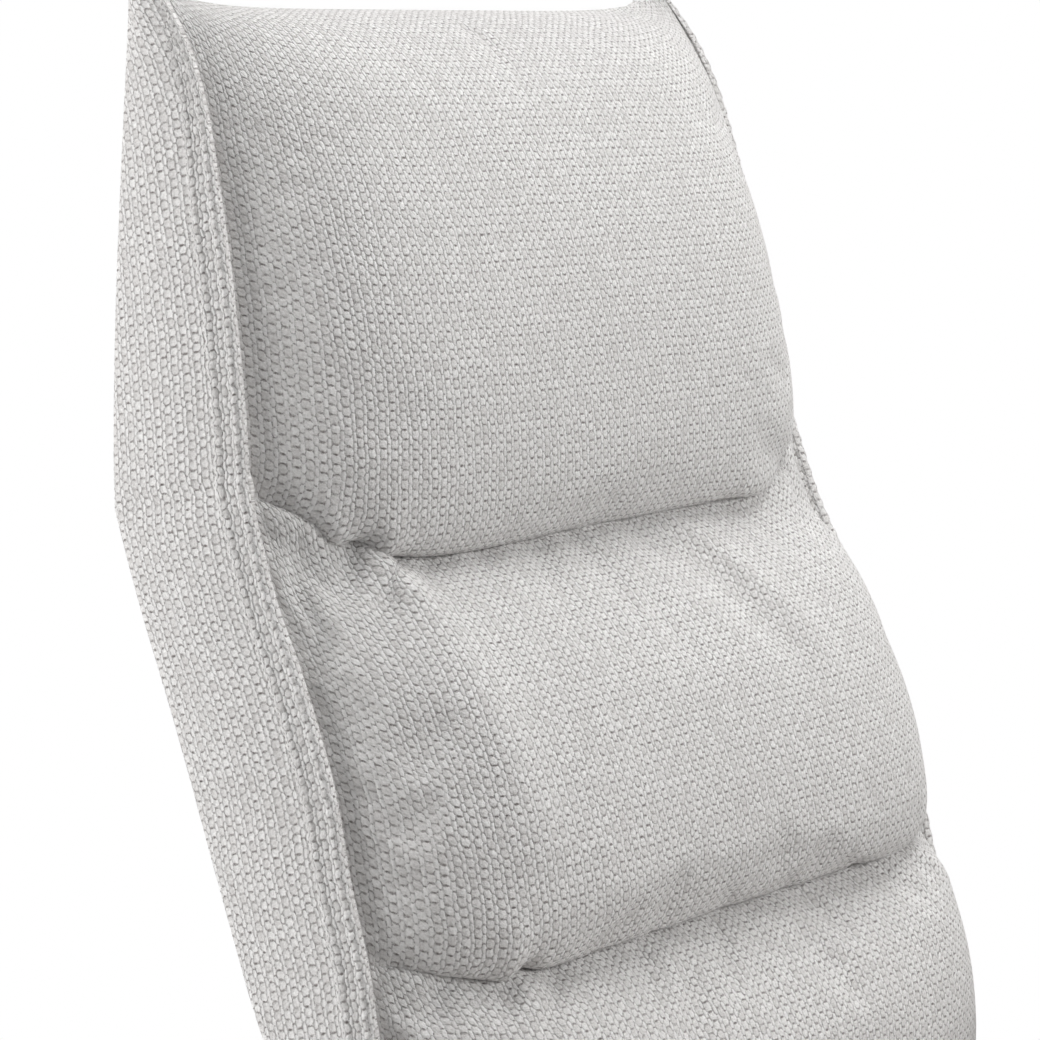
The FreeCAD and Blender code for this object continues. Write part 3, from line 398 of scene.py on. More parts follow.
head_pillow = pillow(
    "head_pillow_soft", SEAM_UPPER, HEAD_CENTRE, rows=88, columns=120, folds=HEAD_FOLDS,
    power=HEAD_EDGE_POWER, lift=(NECK_LIFT, 0.0), top_set_back=HEAD_TOP_SET_BACK,
    slack=HEAD_SLACK, cap=HEAD_CAP)
mid_pillow = pillow(
    "mid_pillow_soft", SEAM_LOWER[MID_SEAM:], MID_CENTRE, rows=68, columns=120,
    folds=MID_FOLDS, lift=(0.0, NECK_LIFT))
lumbar_pillow = pillow(
    "lumbar_pillow_soft", SEAM_LOWER[: MID_SEAM + 1], LUMBAR_CENTRE, rows=56, columns=112,
    folds=LUMBAR_FOLDS)


# Backrest side panels, edge seams, rear fabric and gussets

PANEL_ROWS = 90
PANEL_COLUMNS = 28
PANEL_THICKNESS = 0.004
PANEL_PUFF = 0.0045
PUFF_HEIGHTS = (-0.30, -0.20)   # between these heights the puff comes up to its whole
PUFF_SHARES = (0.4, 1)
TUCK_DEPTH = 0.003
TUCK_WIDTH = 0.007
TUCK_END_POWER = 8
REAR_EDGE_IN = 0.001
REAR_EDGE_FROM = 0.93           # share of a panel's depth from which it turns in
REAR_EDGE_SHARE = 0.07
TOP_LIP = 0.266
TOP_DIP = 0.024
TOP_DIP_REACH = 0.10
TOP_BELOW = 0.005
TOP_ROLL = [(0.112, 0.2705), (0.106, TOP_LIP)]
TOP_ROLL_ROWS = 8
REAR_COLUMNS = 72
REAR_SWELL = 0.006
REAR_SWELL_POWER = 4
REAR_SWELL_REACH = 0.06
REAR_TUCK_DEPTH = 0.006
REAR_TUCK_WIDTH = 0.008
REAR_FADE_POWER = 6
GUSSET_COLUMNS = 60
NECK_GUSSET_ROWS = 13
NECK_GUSSET_SET_BACK = 0.008
NECK_GUSSET_HALF = (0.012, 0.046)
TOP_STRIP_ROWS = 9
TOP_STRIP_BEND = 0.75           # share of the half width from which its front edge runs rearwards
TOP_STRIP_FRONT = (0.074, 0.098)
TOP_STRIP_REAR = 0.111


def outline(lower, upper, rows):
    """A side-view line from the foot to the top, with its row at the neck in the middle."""
    return np.concatenate([spline(lower, rows), spline(upper, rows)[1:]])


def side_panel(name, sign):
    """One side of the back and the head, with the tuck at the neck."""
    seam = outline(SEAM_LOWER, SEAM_UPPER, PANEL_ROWS)
    rear = outline(REAR_LOWER, REAR_UPPER, PANEL_ROWS)
    a = np.linspace(0, 1, PANEL_COLUMNS)
    side = seam[:, None] * (1 - a)[None, :, None] + rear[:, None] * a[None, :, None]
    run = lengths((seam + rear) / 2)
    from_tuck = np.abs(run - run[PANEL_ROWS - 1])[:, None]
    puffed = np.interp(side[..., 1], PUFF_HEIGHTS, PUFF_SHARES)
    swell = np.sin(np.pi * a)[None, :] * PANEL_PUFF * puffed
    tuck = TUCK_DEPTH * np.exp(-((from_tuck / TUCK_WIDTH) ** 2))
    tuck = tuck * (1 - a**TUCK_END_POWER)[None, :]
    turned_in = REAR_EDGE_IN * np.clip((a - REAR_EDGE_FROM) / REAR_EDGE_SHARE, 0, 1) ** 2
    x = sign * (half_width(side[..., 1]) + swell - tuck - turned_in[None, :])
    across = a[None, :] * np.linalg.norm(rear - seam, axis=1)[:, None] * SIDE_STRETCH
    weave = np.stack(np.broadcast_arrays(across, run[:, None]), axis=-1)
    into = (-sign * PANEL_THICKNESS, 0.0, 0.0)
    return shell(name, in_space(x, side), weave, into, flip=sign > 0)


FLANGE_SECTION = [(0.0050, -0.0080), (0.0010, -0.0045), (-0.0010, 0.0002), (0.0002, 0.0026),
                  (0.0022, 0.0032), (0.0046, 0.0027), (0.0076, 0.0031), (0.0106, 0.0038),
                  (0.0134, 0.0050), (0.0156, 0.0060), (0.0178, 0.0050), (0.0206, 0.0034),
                  (0.0240, 0.0012), (0.0250, -0.0040)]
FLANGE_PUCKER = 0.0005
FLANGE_PUCKER_PITCH = 0.011
FLANGE_STEPS = 26
FLANGE_ROWS = 240
FLANGE_TAPER = 0.14             # how far below the top it starts to narrow
FLANGE_TOP_SHARE = 0.45


def lapped_strip(name, line, across, outward, narrowing=1.0, closed=False):
    """The lapped edge seam: a flat doubled strip that lies along a line on a panel."""
    section = spline(FLANGE_SECTION, FLANGE_STEPS)
    run = lengths(line)
    pucker = FLANGE_PUCKER * np.sin(2 * np.pi * run / FLANGE_PUCKER_PITCH)[:, None, None]
    narrow = np.broadcast_to(narrowing, run.shape)[:, None, None]
    wide = section[None, :, :1] * narrow
    high = section[None, :, 1:] * narrow + pucker
    points = line[:, None] + across[:, None] * wide + outward[:, None] * high
    rows, columns = points.shape[:2]
    index = np.arange(rows * columns).reshape(rows, columns)
    index = np.concatenate([index, index[:, :1]], axis=1)
    faces = grid_quads(index).tolist()
    if closed:
        faces += grid_quads(np.stack([index[-1], index[0]])).tolist()
    else:
        faces += [index[0, :-1].tolist(), index[-1, -2::-1].tolist()]
    weave = np.stack(np.meshgrid(lengths(section), run), axis=-1)
    thing = piece(name, points, faces, weave)
    outwards_only(thing)
    return thing


def outwards_only(thing):
    """Turns all faces of a closed piece to look out."""
    work = bmesh.new()
    work.from_mesh(thing.data)
    bmesh.ops.recalc_face_normals(work, faces=work.faces[:])
    work.to_mesh(thing.data)
    work.free()


def flange(name, sign):
    """The lapped seam along the front edge of one side of the back."""
    seam = outline(SEAM_LOWER, SEAM_UPPER, FLANGE_ROWS)
    run = lengths(seam)
    way = directions(seam)
    across = np.stack([np.zeros(len(run)), way[:, 1], -way[:, 0]], axis=1)
    outward = np.broadcast_to([float(sign), 0.0, 0.0], across.shape)
    narrowing = np.interp(run[-1] - run, [0, FLANGE_TAPER], [FLANGE_TOP_SHARE, 1])
    line = in_space(sign * half_width(seam[:, 1]), seam)
    return lapped_strip(name, line, across, outward, narrowing)


def rear_cover():
    """The back's rear fabric, from the hem over the tuck at the neck to the top edge."""
    rear = outline(REAR_LOWER, REAR_UPPER, PANEL_ROWS)
    over = spline([REAR_UPPER[-1], *TOP_ROLL], TOP_ROLL_ROWS)[1:]
    line = np.concatenate([rear, over])
    run = lengths(line)
    from_top = run[-1] - run
    from_neck = np.abs(run - run[PANEL_ROWS - 1])
    u = np.linspace(-1, 1, REAR_COLUMNS)
    way = directions(line)
    outward = np.stack([way[:, 1], -way[:, 0]], axis=1)
    fade = (1 - np.abs(u) ** REAR_FADE_POWER)[None, :]
    swell = REAR_SWELL * (1 - np.abs(u) ** REAR_SWELL_POWER)[None, :]
    swell = swell * np.interp(from_top, [0, REAR_SWELL_REACH], [0, 1])[:, None]
    tuck = REAR_TUCK_DEPTH * np.exp(-((from_neck / REAR_TUCK_WIDTH) ** 2))
    swell = swell - tuck[:, None] * fade
    dip = TOP_DIP * np.interp(from_top, [0, TOP_DIP_REACH], [1, 0])[:, None] * fade
    side = line[:, None] + outward[:, None] * swell[..., None] - UPWARDS * dip[..., None]
    x = u[None, :] * (half_width(line[:, 1]) - REAR_EDGE_IN)[:, None]
    weave = np.stack(np.meshgrid(u * NECK_HALF_WIDTH, run), axis=-1)
    into = (0.0, -PANEL_THICKNESS, 0.0)
    return shell("back_rear_fabric", in_space(x, side), weave, into, flip=True)


def neck_gusset():
    """The fold of fabric deep in the crease between the head and the back."""
    u = np.linspace(-1, 1, GUSSET_COLUMNS)
    rows = np.linspace(-1, 1, NECK_GUSSET_ROWS)
    crease = np.array(HEAD_CENTRE[0])[None, None] * crown(u)[None, :, None]
    line = crease + NECK_GUSSET_SET_BACK * REARWARDS
    line = line + rows[:, None, None] * np.array(NECK_GUSSET_HALF)
    x = np.broadcast_to(u[None, :] * (NECK_HALF_WIDTH - PILLOW_INSET), line.shape[:2])
    weave = np.stack(np.meshgrid(u * NECK_HALF_WIDTH, rows * NECK_GUSSET_HALF[1]), axis=-1)
    return shell("neck_gusset", in_space(x, line), weave, (0.0, PANEL_THICKNESS, 0.0))


def top_gusset():
    """The strip of fabric across the top, between the head pillow and the rear fabric."""
    u = np.linspace(-1, 1, GUSSET_COLUMNS)
    front = np.interp(np.abs(u), [TOP_STRIP_BEND, 1], TOP_STRIP_FRONT)
    depth = np.linspace(0, 1, TOP_STRIP_ROWS)[:, None]
    y = front[None, :] + (TOP_STRIP_REAR - front)[None, :] * depth
    level = TOP_LIP - TOP_DIP * (1 - np.abs(u) ** REAR_FADE_POWER) - TOP_BELOW
    side = np.stack([y, np.broadcast_to(level, y.shape)], axis=-1)
    x = np.broadcast_to(u[None, :] * (half_width(TOP_LIP) - PILLOW_INSET), y.shape)
    weave = np.stack([np.broadcast_to(u * NECK_HALF_WIDTH, y.shape), y], axis=-1)
    return shell("top_gusset", in_space(x, side), weave, (0.0, 0.0, -PANEL_THICKNESS))


gusset = neck_gusset()
top_strip = top_gusset()
panels = {-1: side_panel("back_side_fabric_right", -1), 1: side_panel("back_side_fabric_left", 1)}
flanges = {-1: flange("edge_flange_right", -1), 1: flange("edge_flange_left", 1)}
rear_fabric = rear_cover()


# Seat, arms, apron and footrest, from the solids

SMOOTH_FACTOR = 0.5
SEAM_POINTS = 420
FOOTREST_SEAM_POINTS = 360
SEAM_SMOOTHING = 8
SEAM_IN = 0.004
SEAT_SLOPE = 0.04
SEAT_SEAM_DROP = 0.034
SEAT_SEAM_REAR = 0.060
FOOTREST_SEAM_TOP = 0.030
ARM_CORNER_DROP = 0.018
ARM_CORNER_FROM = 0.030
ARM_CORNER_TO = 0.170
CUSHION_PRESSURE = 3.0
FOOTREST_PRESSURE = 2.5
CUSHION_SLACK = 0.01
CUSHION_CAP = 0.008
# The ring round the lever's shaft: distance from the axis, and outwards from the arm
ESCUTCHEON = [(0.0062, -0.0100), (0.0062, 0.0030), (0.0072, 0.0042), (0.0110, 0.0040),
              (0.0150, 0.0026), (0.0170, 0.0000), (0.0170, -0.0100)]
ESCUTCHEON_STEPS = 48


def soft_copy(name, node, voxel, rounds):
    """A copy of a soft solid with small even faces and rounded edges."""
    thing = new_object(name, frame["nodes"][node].data.copy())
    remesh = thing.modifiers.new("even", "REMESH")
    remesh.mode = "VOXEL"
    remesh.voxel_size = voxel
    smooth = thing.modifiers.new("round", "SMOOTH")
    smooth.factor = SMOOTH_FACTOR
    smooth.iterations = rounds
    graph = bpy.context.evaluated_depsgraph_get()
    made = bpy.data.meshes.new_from_object(thing.evaluated_get(graph))
    thing.modifiers.clear()
    thing.data = made
    made.polygons.foreach_set("use_smooth", [True] * len(made.polygons))
    return thing


def lay_weave(thing):
    """Lays the weave on a remeshed piece from its side, front or top, whichever a face looks to."""
    mesh = thing.data
    layer = mesh.uv_layers.new(name=WEAVE)
    co = positions(mesh)
    for polygon in mesh.polygons:
        normal = polygon.normal
        facing = max(range(3), key=lambda axis: abs(normal[axis]))
        first, second = ((1, 2), (0, 2), (0, 1))[facing]
        for loop in polygon.loop_indices:
            point = co[mesh.loops[loop].vertex_index]
            layer.data[loop].uv = (point[first], point[second])


def cut_line(thing, point, normal, count):
    """The closed line in which a plane cuts a piece, smoothed and evenly spaced."""
    work = bmesh.new()
    work.from_mesh(thing.data)
    whole = work.verts[:] + work.edges[:] + work.faces[:]
    made = bmesh.ops.bisect_plane(work, geom=whole, plane_co=point, plane_no=normal)["geom_cut"]
    links = {}
    for edge in (part for part in made if isinstance(part, bmesh.types.BMEdge)):
        one, other = edge.verts
        links.setdefault(one, []).append(other)
        links.setdefault(other, []).append(one)
    first = next(iter(links))
    line, last, here = [first.co[:]], first, links[first][0]
    while here != first:
        line.append(here.co[:])
        last, here = here, next(other for other in links[here] if other != last)
    work.free()
    line = evenly(np.array(line + line[:1]), count + 1)[:-1]
    for _ in range(SEAM_SMOOTHING):
        line = (np.roll(line, 1, axis=0) + 2 * line + np.roll(line, -1, axis=0)) / 4
    return line


def inward_of(line, normal):
    """At each point of a closed flat line, the way in its plane to its inside."""
    way = np.roll(line, -1, axis=0) - np.roll(line, 1, axis=0)
    normal = np.asarray(normal, float) / np.linalg.norm(normal)
    inward = np.cross(normal, way)
    inward /= np.linalg.norm(inward, axis=1, keepdims=True)
    spoke = line - line.mean(0)
    turning = np.cross(spoke, np.roll(spoke, -1, axis=0)).sum(0) @ normal
    return inward * np.sign(turning)


def open_part(keep, *rows):
    """The kept run of a closed line's points, in order, from one end to the other."""
    first = next(i for i in range(len(keep)) if keep[i] and not keep[i - 1])
    order = (np.arange(len(keep)) + first) % len(keep)
    order = order[keep[order]]
    return [values[order] for values in rows]


def arm_seam(name, arm, node, sign):
    """The lapped seam round the outer face of an arm."""
    low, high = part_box(node)
    face = high[0] if sign > 0 else low[0]
    normal = (1.0, 0.0, 0.0)
    line = cut_line(arm, (face - sign * SEAM_IN, 0.0, 0.0), normal, SEAM_POINTS)
    inward = inward_of(line, normal)
    outward = np.broadcast_to([float(sign), 0.0, 0.0], line.shape)
    return lapped_strip(name, line, inward, outward, closed=True)


def seat_seam():
    """The lapped seam round the cushion's sides and front, a little below its top."""
    low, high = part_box("seat_cushion")
    normal = (0.0, SEAT_SLOPE, 1.0)
    place = (0.0, low[1], high[2] - SEAT_SEAM_DROP)
    line = cut_line(seat_cushion, place, normal, SEAM_POINTS)
    inward = inward_of(line, normal)
    line, inward = open_part(line[:, 1] < high[1] - SEAT_SEAM_REAR, line, inward)
    down = np.broadcast_to(-np.asarray(normal) / np.linalg.norm(normal), line.shape)
    return lapped_strip("seat_seam", line + inward * SEAM_IN, down, -inward)


def footrest_seam():
    """The lapped seam round the pad's front, open at its top."""
    low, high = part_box("footrest_pad")
    normal = (0.0, 1.0, 0.0)
    place = (0.0, low[1] + SEAM_IN, 0.0)
    line = cut_line(footrest_pad, place, normal, FOOTREST_SEAM_POINTS)
    inward = inward_of(line, normal)
    line, inward = open_part(line[:, 2] < high[2] - FOOTREST_SEAM_TOP, line, inward)
    outward = np.broadcast_to([0.0, -1.0, 0.0], line.shape)
    return lapped_strip("footrest_seam", line, inward, outward)


def slope_rear_corner(arm):
    """Lets the top of an arm fall off softly towards its rear."""
    co = positions(arm.data)
    rearness = (co[:, 1] - ARM_CORNER_FROM) / (ARM_CORNER_TO - ARM_CORNER_FROM)
    middle = co[:, 2].mean()
    height = (co[:, 2] - middle) / (co[:, 2].max() - middle)
    co[:, 2] -= ARM_CORNER_DROP * np.clip(rearness, 0, 1) ** 2 * np.clip(height, 0, 1)
    move_to(arm, co)


def escutcheon():
    """The moulded ring round the lever's shaft, on the outside of the arm."""
    low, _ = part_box("arm_right")
    turn = np.linspace(0, 2 * np.pi, ESCUTCHEON_STEPS + 1)[:-1, None]
    profile = np.array(ESCUTCHEON + ESCUTCHEON[:1])
    radius, out = profile[None, :, 0], profile[None, :, 1]
    y = lever_pivot.y + np.cos(turn) * radius
    z = lever_pivot.z + np.sin(turn) * radius
    points = np.stack(np.broadcast_arrays(low[0] - out, y, z), axis=-1)
    index = np.arange(y.size).reshape(y.shape)
    index[:, -1] = index[:, 0]
    index = np.concatenate([index, index[:1]])
    thing = piece("lever_escutcheon", points, grid_quads(index), np.zeros((*y.shape, 2)))
    outwards_only(thing)
    return thing


ring = escutcheon()
seat_cushion = soft_copy("seat_cushion_soft", "seat_cushion", voxel=0.007, rounds=12)
arms = {
    -1: soft_copy("arm_soft_right", "arm_right", voxel=0.007, rounds=10),
    1: soft_copy("arm_soft_left", "arm_left", voxel=0.007, rounds=10),
}
for arm in arms.values():
    slope_rear_corner(arm)
apron = soft_copy("rear_apron_soft", "rear_apron", voxel=0.005, rounds=4)
footrest_pad = soft_copy("footrest_pad_soft", "footrest_pad", voxel=0.006, rounds=8)

for thing, pressure in ((seat_cushion, CUSHION_PRESSURE), (footrest_pad, FOOTREST_PRESSURE)):
    free = np.zeros(len(thing.data.vertices))
    will_settle(thing, free, pressure, CUSHION_SLACK, CUSHION_CAP)
settle_all()
fold_all()
for thing in (seat_cushion, *arms.values(), apron, footrest_pad):
    lay_weave(thing)
arm_seams = {
    -1: arm_seam("arm_seam_right", arms[-1], "arm_right", -1),
    1: arm_seam("arm_seam_left", arms[1], "arm_left", 1),
}
seat_strip = seat_seam()
footrest_strip = footrest_seam()
for thing in (head_pillow, mid_pillow, lumbar_pillow):
    thing.modifiers.new("finer", "SUBSURF").levels = 1
    thing.modifiers["finer"].render_levels = 1


# Materials

MIX_COLOUR_INPUTS = (0, 6, 7)   # share, first and second colour of a Mix node
MIX_COLOUR_OUTPUT = 2


class Nodes:
    """A small builder for a procedural material."""

    def __init__(self, name):
        self.material = bpy.data.materials.new(name)
        self.material.use_nodes = True
        self.tree = self.material.node_tree
        self.shader = self.tree.nodes["Principled BSDF"]

    def add(self, kind, inputs=(), **settings):
        node = self.tree.nodes.new(kind)
        for key, value in settings.items():
            setattr(node, key, value)
        for key, value in dict(inputs).items():
            self.put(node.inputs[key], value)
        return node

    def put(self, socket, value):
        if isinstance(value, bpy.types.NodeSocket):
            self.tree.links.new(value, socket)
        else:
            socket.default_value = value

    def math(self, operation, *values, clamp=False):
        node = self.add("ShaderNodeMath", enumerate(values), operation=operation, use_clamp=clamp)
        return node.outputs[0]

    def noise(self, vector, scale, detail=2.0, rough=0.5):
        inputs = {"Vector": vector, "Scale": scale, "Detail": detail, "Roughness": rough}
        return self.add("ShaderNodeTexNoise", inputs).outputs["Fac"]

    def ramp(self, value, low, high, out_low=0.0, out_high=1.0, smooth=True):
        inputs = {"Value": value, "From Min": low, "From Max": high,
                  "To Min": out_low, "To Max": out_high}
        kind = "SMOOTHSTEP" if smooth else "LINEAR"
        return self.add("ShaderNodeMapRange", inputs, interpolation_type=kind).outputs["Result"]

    def blend(self, share, first, second):
        node = self.add("ShaderNodeMix", data_type="RGBA")
        for number, value in zip(MIX_COLOUR_INPUTS, (share, first, second)):
            self.put(node.inputs[number], value)
        return node.outputs[MIX_COLOUR_OUTPUT]

    def bump(self, height, distance, strength=1.0):
        inputs = {"Height": height, "Distance": distance, "Strength": strength}
        return self.add("ShaderNodeBump", inputs).outputs["Normal"]

    def finish(self, **inputs):
        for key, value in inputs.items():
            self.put(self.shader.inputs[key.replace("_", " ")], value)
        return self.material


def colour(r, g, b):
    return (r, g, b, 1.0)


YARN_DARK = colour(0.59, 0.566, 0.553)
YARN_LIGHT = colour(0.97, 0.962, 0.952)
YARN_THIN = colour(0.90, 0.892, 0.884)
YARN_CLOUD = colour(0.52, 0.505, 0.49)
# colour of the painted shade in the hollows between the bumps
YARN_GAP_SHADE = colour(0.165, 0.142, 0.132)
YARN_WANDER = ((14.0, 0.0045), (85.0, 0.0022))  # noise scale and reach
COLUMN_BLEND = 0.01        # share over which a wide column goes over to a thin one
PORE_SHADE = 0.6           # of wood's pores against its dark grain
RIB_PITCH = 0.003          # of the webbing


def woven_fabric():
    """Columns of round bumps with painted shade in their gaps, laid out in metres by the weave map.
    """
    n = Nodes("woven_fabric")
    uv = n.add("ShaderNodeUVMap", uv_map=WEAVE).outputs["UV"]
    # The yarns wander a little, both slowly and from bump to bump
    placed = uv
    for scale, reach in YARN_WANDER:
        wander = n.add("ShaderNodeTexNoise", {"Vector": uv, "Scale": scale, "Detail": 2.0})
        shift = n.add("ShaderNodeVectorMath", {0: wander.outputs["Color"], 1: (0.5, 0.5, 0.5)},
                      operation="SUBTRACT")
        moved = n.add("ShaderNodeVectorMath",
                      {0: shift.outputs[0], 1: (reach, reach, 0.0), 2: placed},
                      operation="MULTIPLY_ADD")
        placed = moved.outputs[0]
    split = n.add("ShaderNodeSeparateXYZ", {0: placed})
    columns = n.math("DIVIDE", split.outputs[0], COLUMN_PITCH)
    column = n.math("FLOOR", columns)
    part = n.math("FRACT", columns)
    steps = n.math("DIVIDE", split.outputs[1], BUMP_PITCH)
    fibre = n.ramp(n.noise(uv, 620.0, 3.0, 0.72), 0.33, 0.67, smooth=False)
    fuzz = n.noise(uv, 420.0, 3.0, 0.65)

    def row_of_bumps(low, high, shift, square):
        """How high a column's bumps stand, how near their ends a point is, and a chance of each."""
        across = n.ramp(part, low, high, -1.0, 1.0, smooth=False)
        moved = n.math("ADD", steps, shift)
        along = n.ramp(n.math("FRACT", moved), 0.0, 1.0, -1.0, 1.0, smooth=False)
        bump = n.math("FLOOR", moved)
        own = n.add("ShaderNodeCombineXYZ", {0: column, 1: bump, 2: shift}).outputs[0]
        white = n.add("ShaderNodeTexWhiteNoise", {"Vector": own}, noise_dimensions="3D")
        side = n.math("POWER", n.math("ABSOLUTE", across), square)
        end = n.math("POWER", n.math("ABSOLUTE", along), square)
        left = n.math("SUBTRACT", 1.0, n.math("ADD", side, end), clamp=True)
        dome = n.math("POWER", left, 0.5)
        near_end = n.math("MULTIPLY", end, n.math("SUBTRACT", 1.0, side, clamp=True))
        return dome, near_end, white.outputs["Value"]

    # A wide column of round bumps, and beside it a thin column of long ones half a step lower
    wide, wide_end, wide_chance = row_of_bumps(0.0, WIDE_SHARE, 0.0, 2.1)
    thin, thin_end, thin_chance = row_of_bumps(WIDE_SHARE, 1.0, 0.5, 2.2)
    in_thin = n.ramp(part, WIDE_SHARE - COLUMN_BLEND, WIDE_SHARE + COLUMN_BLEND)
    chance = n.add("ShaderNodeMix", {0: in_thin, 2: wide_chance, 3: thin_chance}).outputs[0]
    rise = n.math("MAXIMUM", n.math("MULTIPLY", wide, n.ramp(wide_chance, 0.0, 1.0, 0.75, 1.0)),
                  n.math("MULTIPLY", thin, 0.72))
    height = n.math("ADD", rise, n.math("MULTIPLY", fibre, 0.45))
    # Painted shade in the gaps: strong between the ends of wide bumps, faint along their sides
    gap_end_shade = n.ramp(n.math("MAXIMUM", wide_end, n.math("MULTIPLY", thin_end, 0.8)), 0.30, 0.75)
    gap_end_shade = n.math("MULTIPLY", gap_end_shade, n.ramp(chance, 0.0, 0.7, 0.50, 1.0))
    gap_end_shade = n.math("MULTIPLY", gap_end_shade, n.ramp(fuzz, 0.36, 0.52, 0.25, 1.0))
    edge = n.ramp(n.math("MAXIMUM", wide, thin), 0.62, 0.10)
    edge = n.math("MULTIPLY", edge, n.ramp(fuzz, 0.42, 0.62, 0.0, 0.80))
    gap_shade = n.math("MAXIMUM", gap_end_shade, edge)
    gap_shade = n.math("MULTIPLY", gap_shade, n.ramp(fibre, 0.1, 0.9, 1.0, 0.60))
    tone = n.math("ADD", n.math("MULTIPLY", chance, 0.35), n.math("MULTIPLY", fibre, 0.65))
    yarn_colour = n.blend(tone, YARN_DARK, YARN_LIGHT)
    yarn_colour = n.blend(n.math("MULTIPLY", in_thin, 0.35), yarn_colour, YARN_THIN)
    # the gaps between the bumps take the painted shade colour
    body = n.blend(gap_shade, yarn_colour, YARN_GAP_SHADE)
    cloud = n.noise(uv, 9.0, 2.0)
    body = n.blend(n.ramp(cloud, 0.35, 0.70, 0.0, 0.08), body, YARN_CLOUD)
    rough = n.ramp(fibre, 0.2, 0.8, 0.86, 0.98)
    normal = n.bump(height, 0.0012, 0.9)
    n.shader.inputs["Sheen Weight"].default_value = 0.12
    n.shader.inputs["Sheen Roughness"].default_value = 0.6
    n.shader.inputs["Specular IOR Level"].default_value = 0.2
    return n.finish(Base_Color=body, Roughness=rough, Normal=normal)


def object_place(n):
    return n.add("ShaderNodeTexCoord").outputs["Object"]


def powder_coat(name, dark, light, rough_low, rough_high):
    """Painted steel with a fine orange-peel skin and slightly rubbed patches."""
    n = Nodes(name)
    place = object_place(n)
    peel = n.noise(place, 900.0, 2.0)
    patch = n.noise(place, 14.0, 4.0, 0.6)
    return n.finish(
        Base_Color=n.blend(n.ramp(patch, 0.35, 0.75), colour(*dark), colour(*light)),
        Roughness=n.ramp(patch, 0.3, 0.8, rough_low, rough_high),
        Normal=n.bump(peel, 0.0004, 0.25),
    )


def bright_steel():
    """Turned steel, with fine marks round it and duller patches."""
    n = Nodes("bright_steel")
    place = object_place(n)
    marks = {"Vector": place, "Scale": (30.0, 900.0, 900.0)}
    turned = n.noise(n.add("ShaderNodeMapping", marks).outputs[0], 1.0, 3.0)
    dull = n.noise(place, 40.0, 3.0)
    n.shader.inputs["Metallic"].default_value = 1.0
    return n.finish(
        Base_Color=n.blend(dull, colour(0.50, 0.495, 0.48), colour(0.66, 0.65, 0.63)),
        Roughness=n.ramp(turned, 0.2, 0.8, 0.22, 0.42),
        Normal=n.bump(turned, 0.0001, 0.3),
    )


def rubber():
    """Dull black rubber with a little dust."""
    n = Nodes("mat_rubber")
    place = object_place(n)
    grain = n.noise(place, 500.0, 3.0)
    dust = n.ramp(n.noise(place, 22.0, 4.0), 0.45, 0.8)
    return n.finish(
        Base_Color=n.blend(dust, colour(0.026, 0.026, 0.027), colour(0.06, 0.058, 0.055)),
        Roughness=n.ramp(grain, 0.2, 0.8, 0.75, 0.95),
        Normal=n.bump(grain, 0.0005, 0.4),
    )


def moulded_plastic(name, dark, light):
    """Moulded plastic with a fine grain."""
    n = Nodes(name)
    place = object_place(n)
    grain = n.noise(place, 1400.0, 2.0)
    tone = n.noise(place, 60.0, 2.0)
    return n.finish(
        Base_Color=n.blend(tone, colour(*dark), colour(*light)),
        Roughness=n.ramp(grain, 0.2, 0.8, 0.42, 0.6),
        Normal=n.bump(grain, 0.0003, 0.35),
    )


def wood(name, dark, light, stretch):
    """Wood with its grain and pores stretched along the piece."""
    n = Nodes(name)
    place = object_place(n)
    along = n.add("ShaderNodeMapping", {"Vector": place, "Scale": stretch}).outputs[0]
    grain = n.noise(along, 1.0, 6.0, 0.6)
    pores = n.noise(along, 7.0, 2.0)
    body = n.blend(n.ramp(grain, 0.3, 0.7), colour(*dark), colour(*light))
    pore_colour = colour(*(PORE_SHADE * value for value in dark))
    body = n.blend(n.ramp(pores, 0.62, 0.75, 0.0, 0.5), body, pore_colour)
    return n.finish(
        Base_Color=body,
        Roughness=n.ramp(grain, 0.2, 0.8, 0.55, 0.75),
        Normal=n.bump(pores, 0.0004, 0.3),
    )


def webbing():
    """Dark elastic webbing, ribbed across."""
    n = Nodes("webbing")
    place = object_place(n)
    split = n.add("ShaderNodeSeparateXYZ", {0: place})
    along = n.math("ADD", split.outputs[1], split.outputs[0])
    rib = n.math("SINE", n.math("MULTIPLY", along, 2 * math.pi / RIB_PITCH))
    fuzz = n.noise(place, 1200.0, 2.0)
    body = n.blend(n.ramp(rib, -1.0, 1.0), colour(0.055, 0.055, 0.06), colour(0.13, 0.13, 0.14))
    body = n.blend(n.ramp(fuzz, 0.5, 0.9, 0.0, 0.4), body, colour(0.2, 0.2, 0.21))
    return n.finish(
        Base_Color=body,
        Roughness=n.ramp(fuzz, 0.2, 0.8, 0.75, 0.95),
        Normal=n.bump(rib, 0.0005, 0.5),
    )


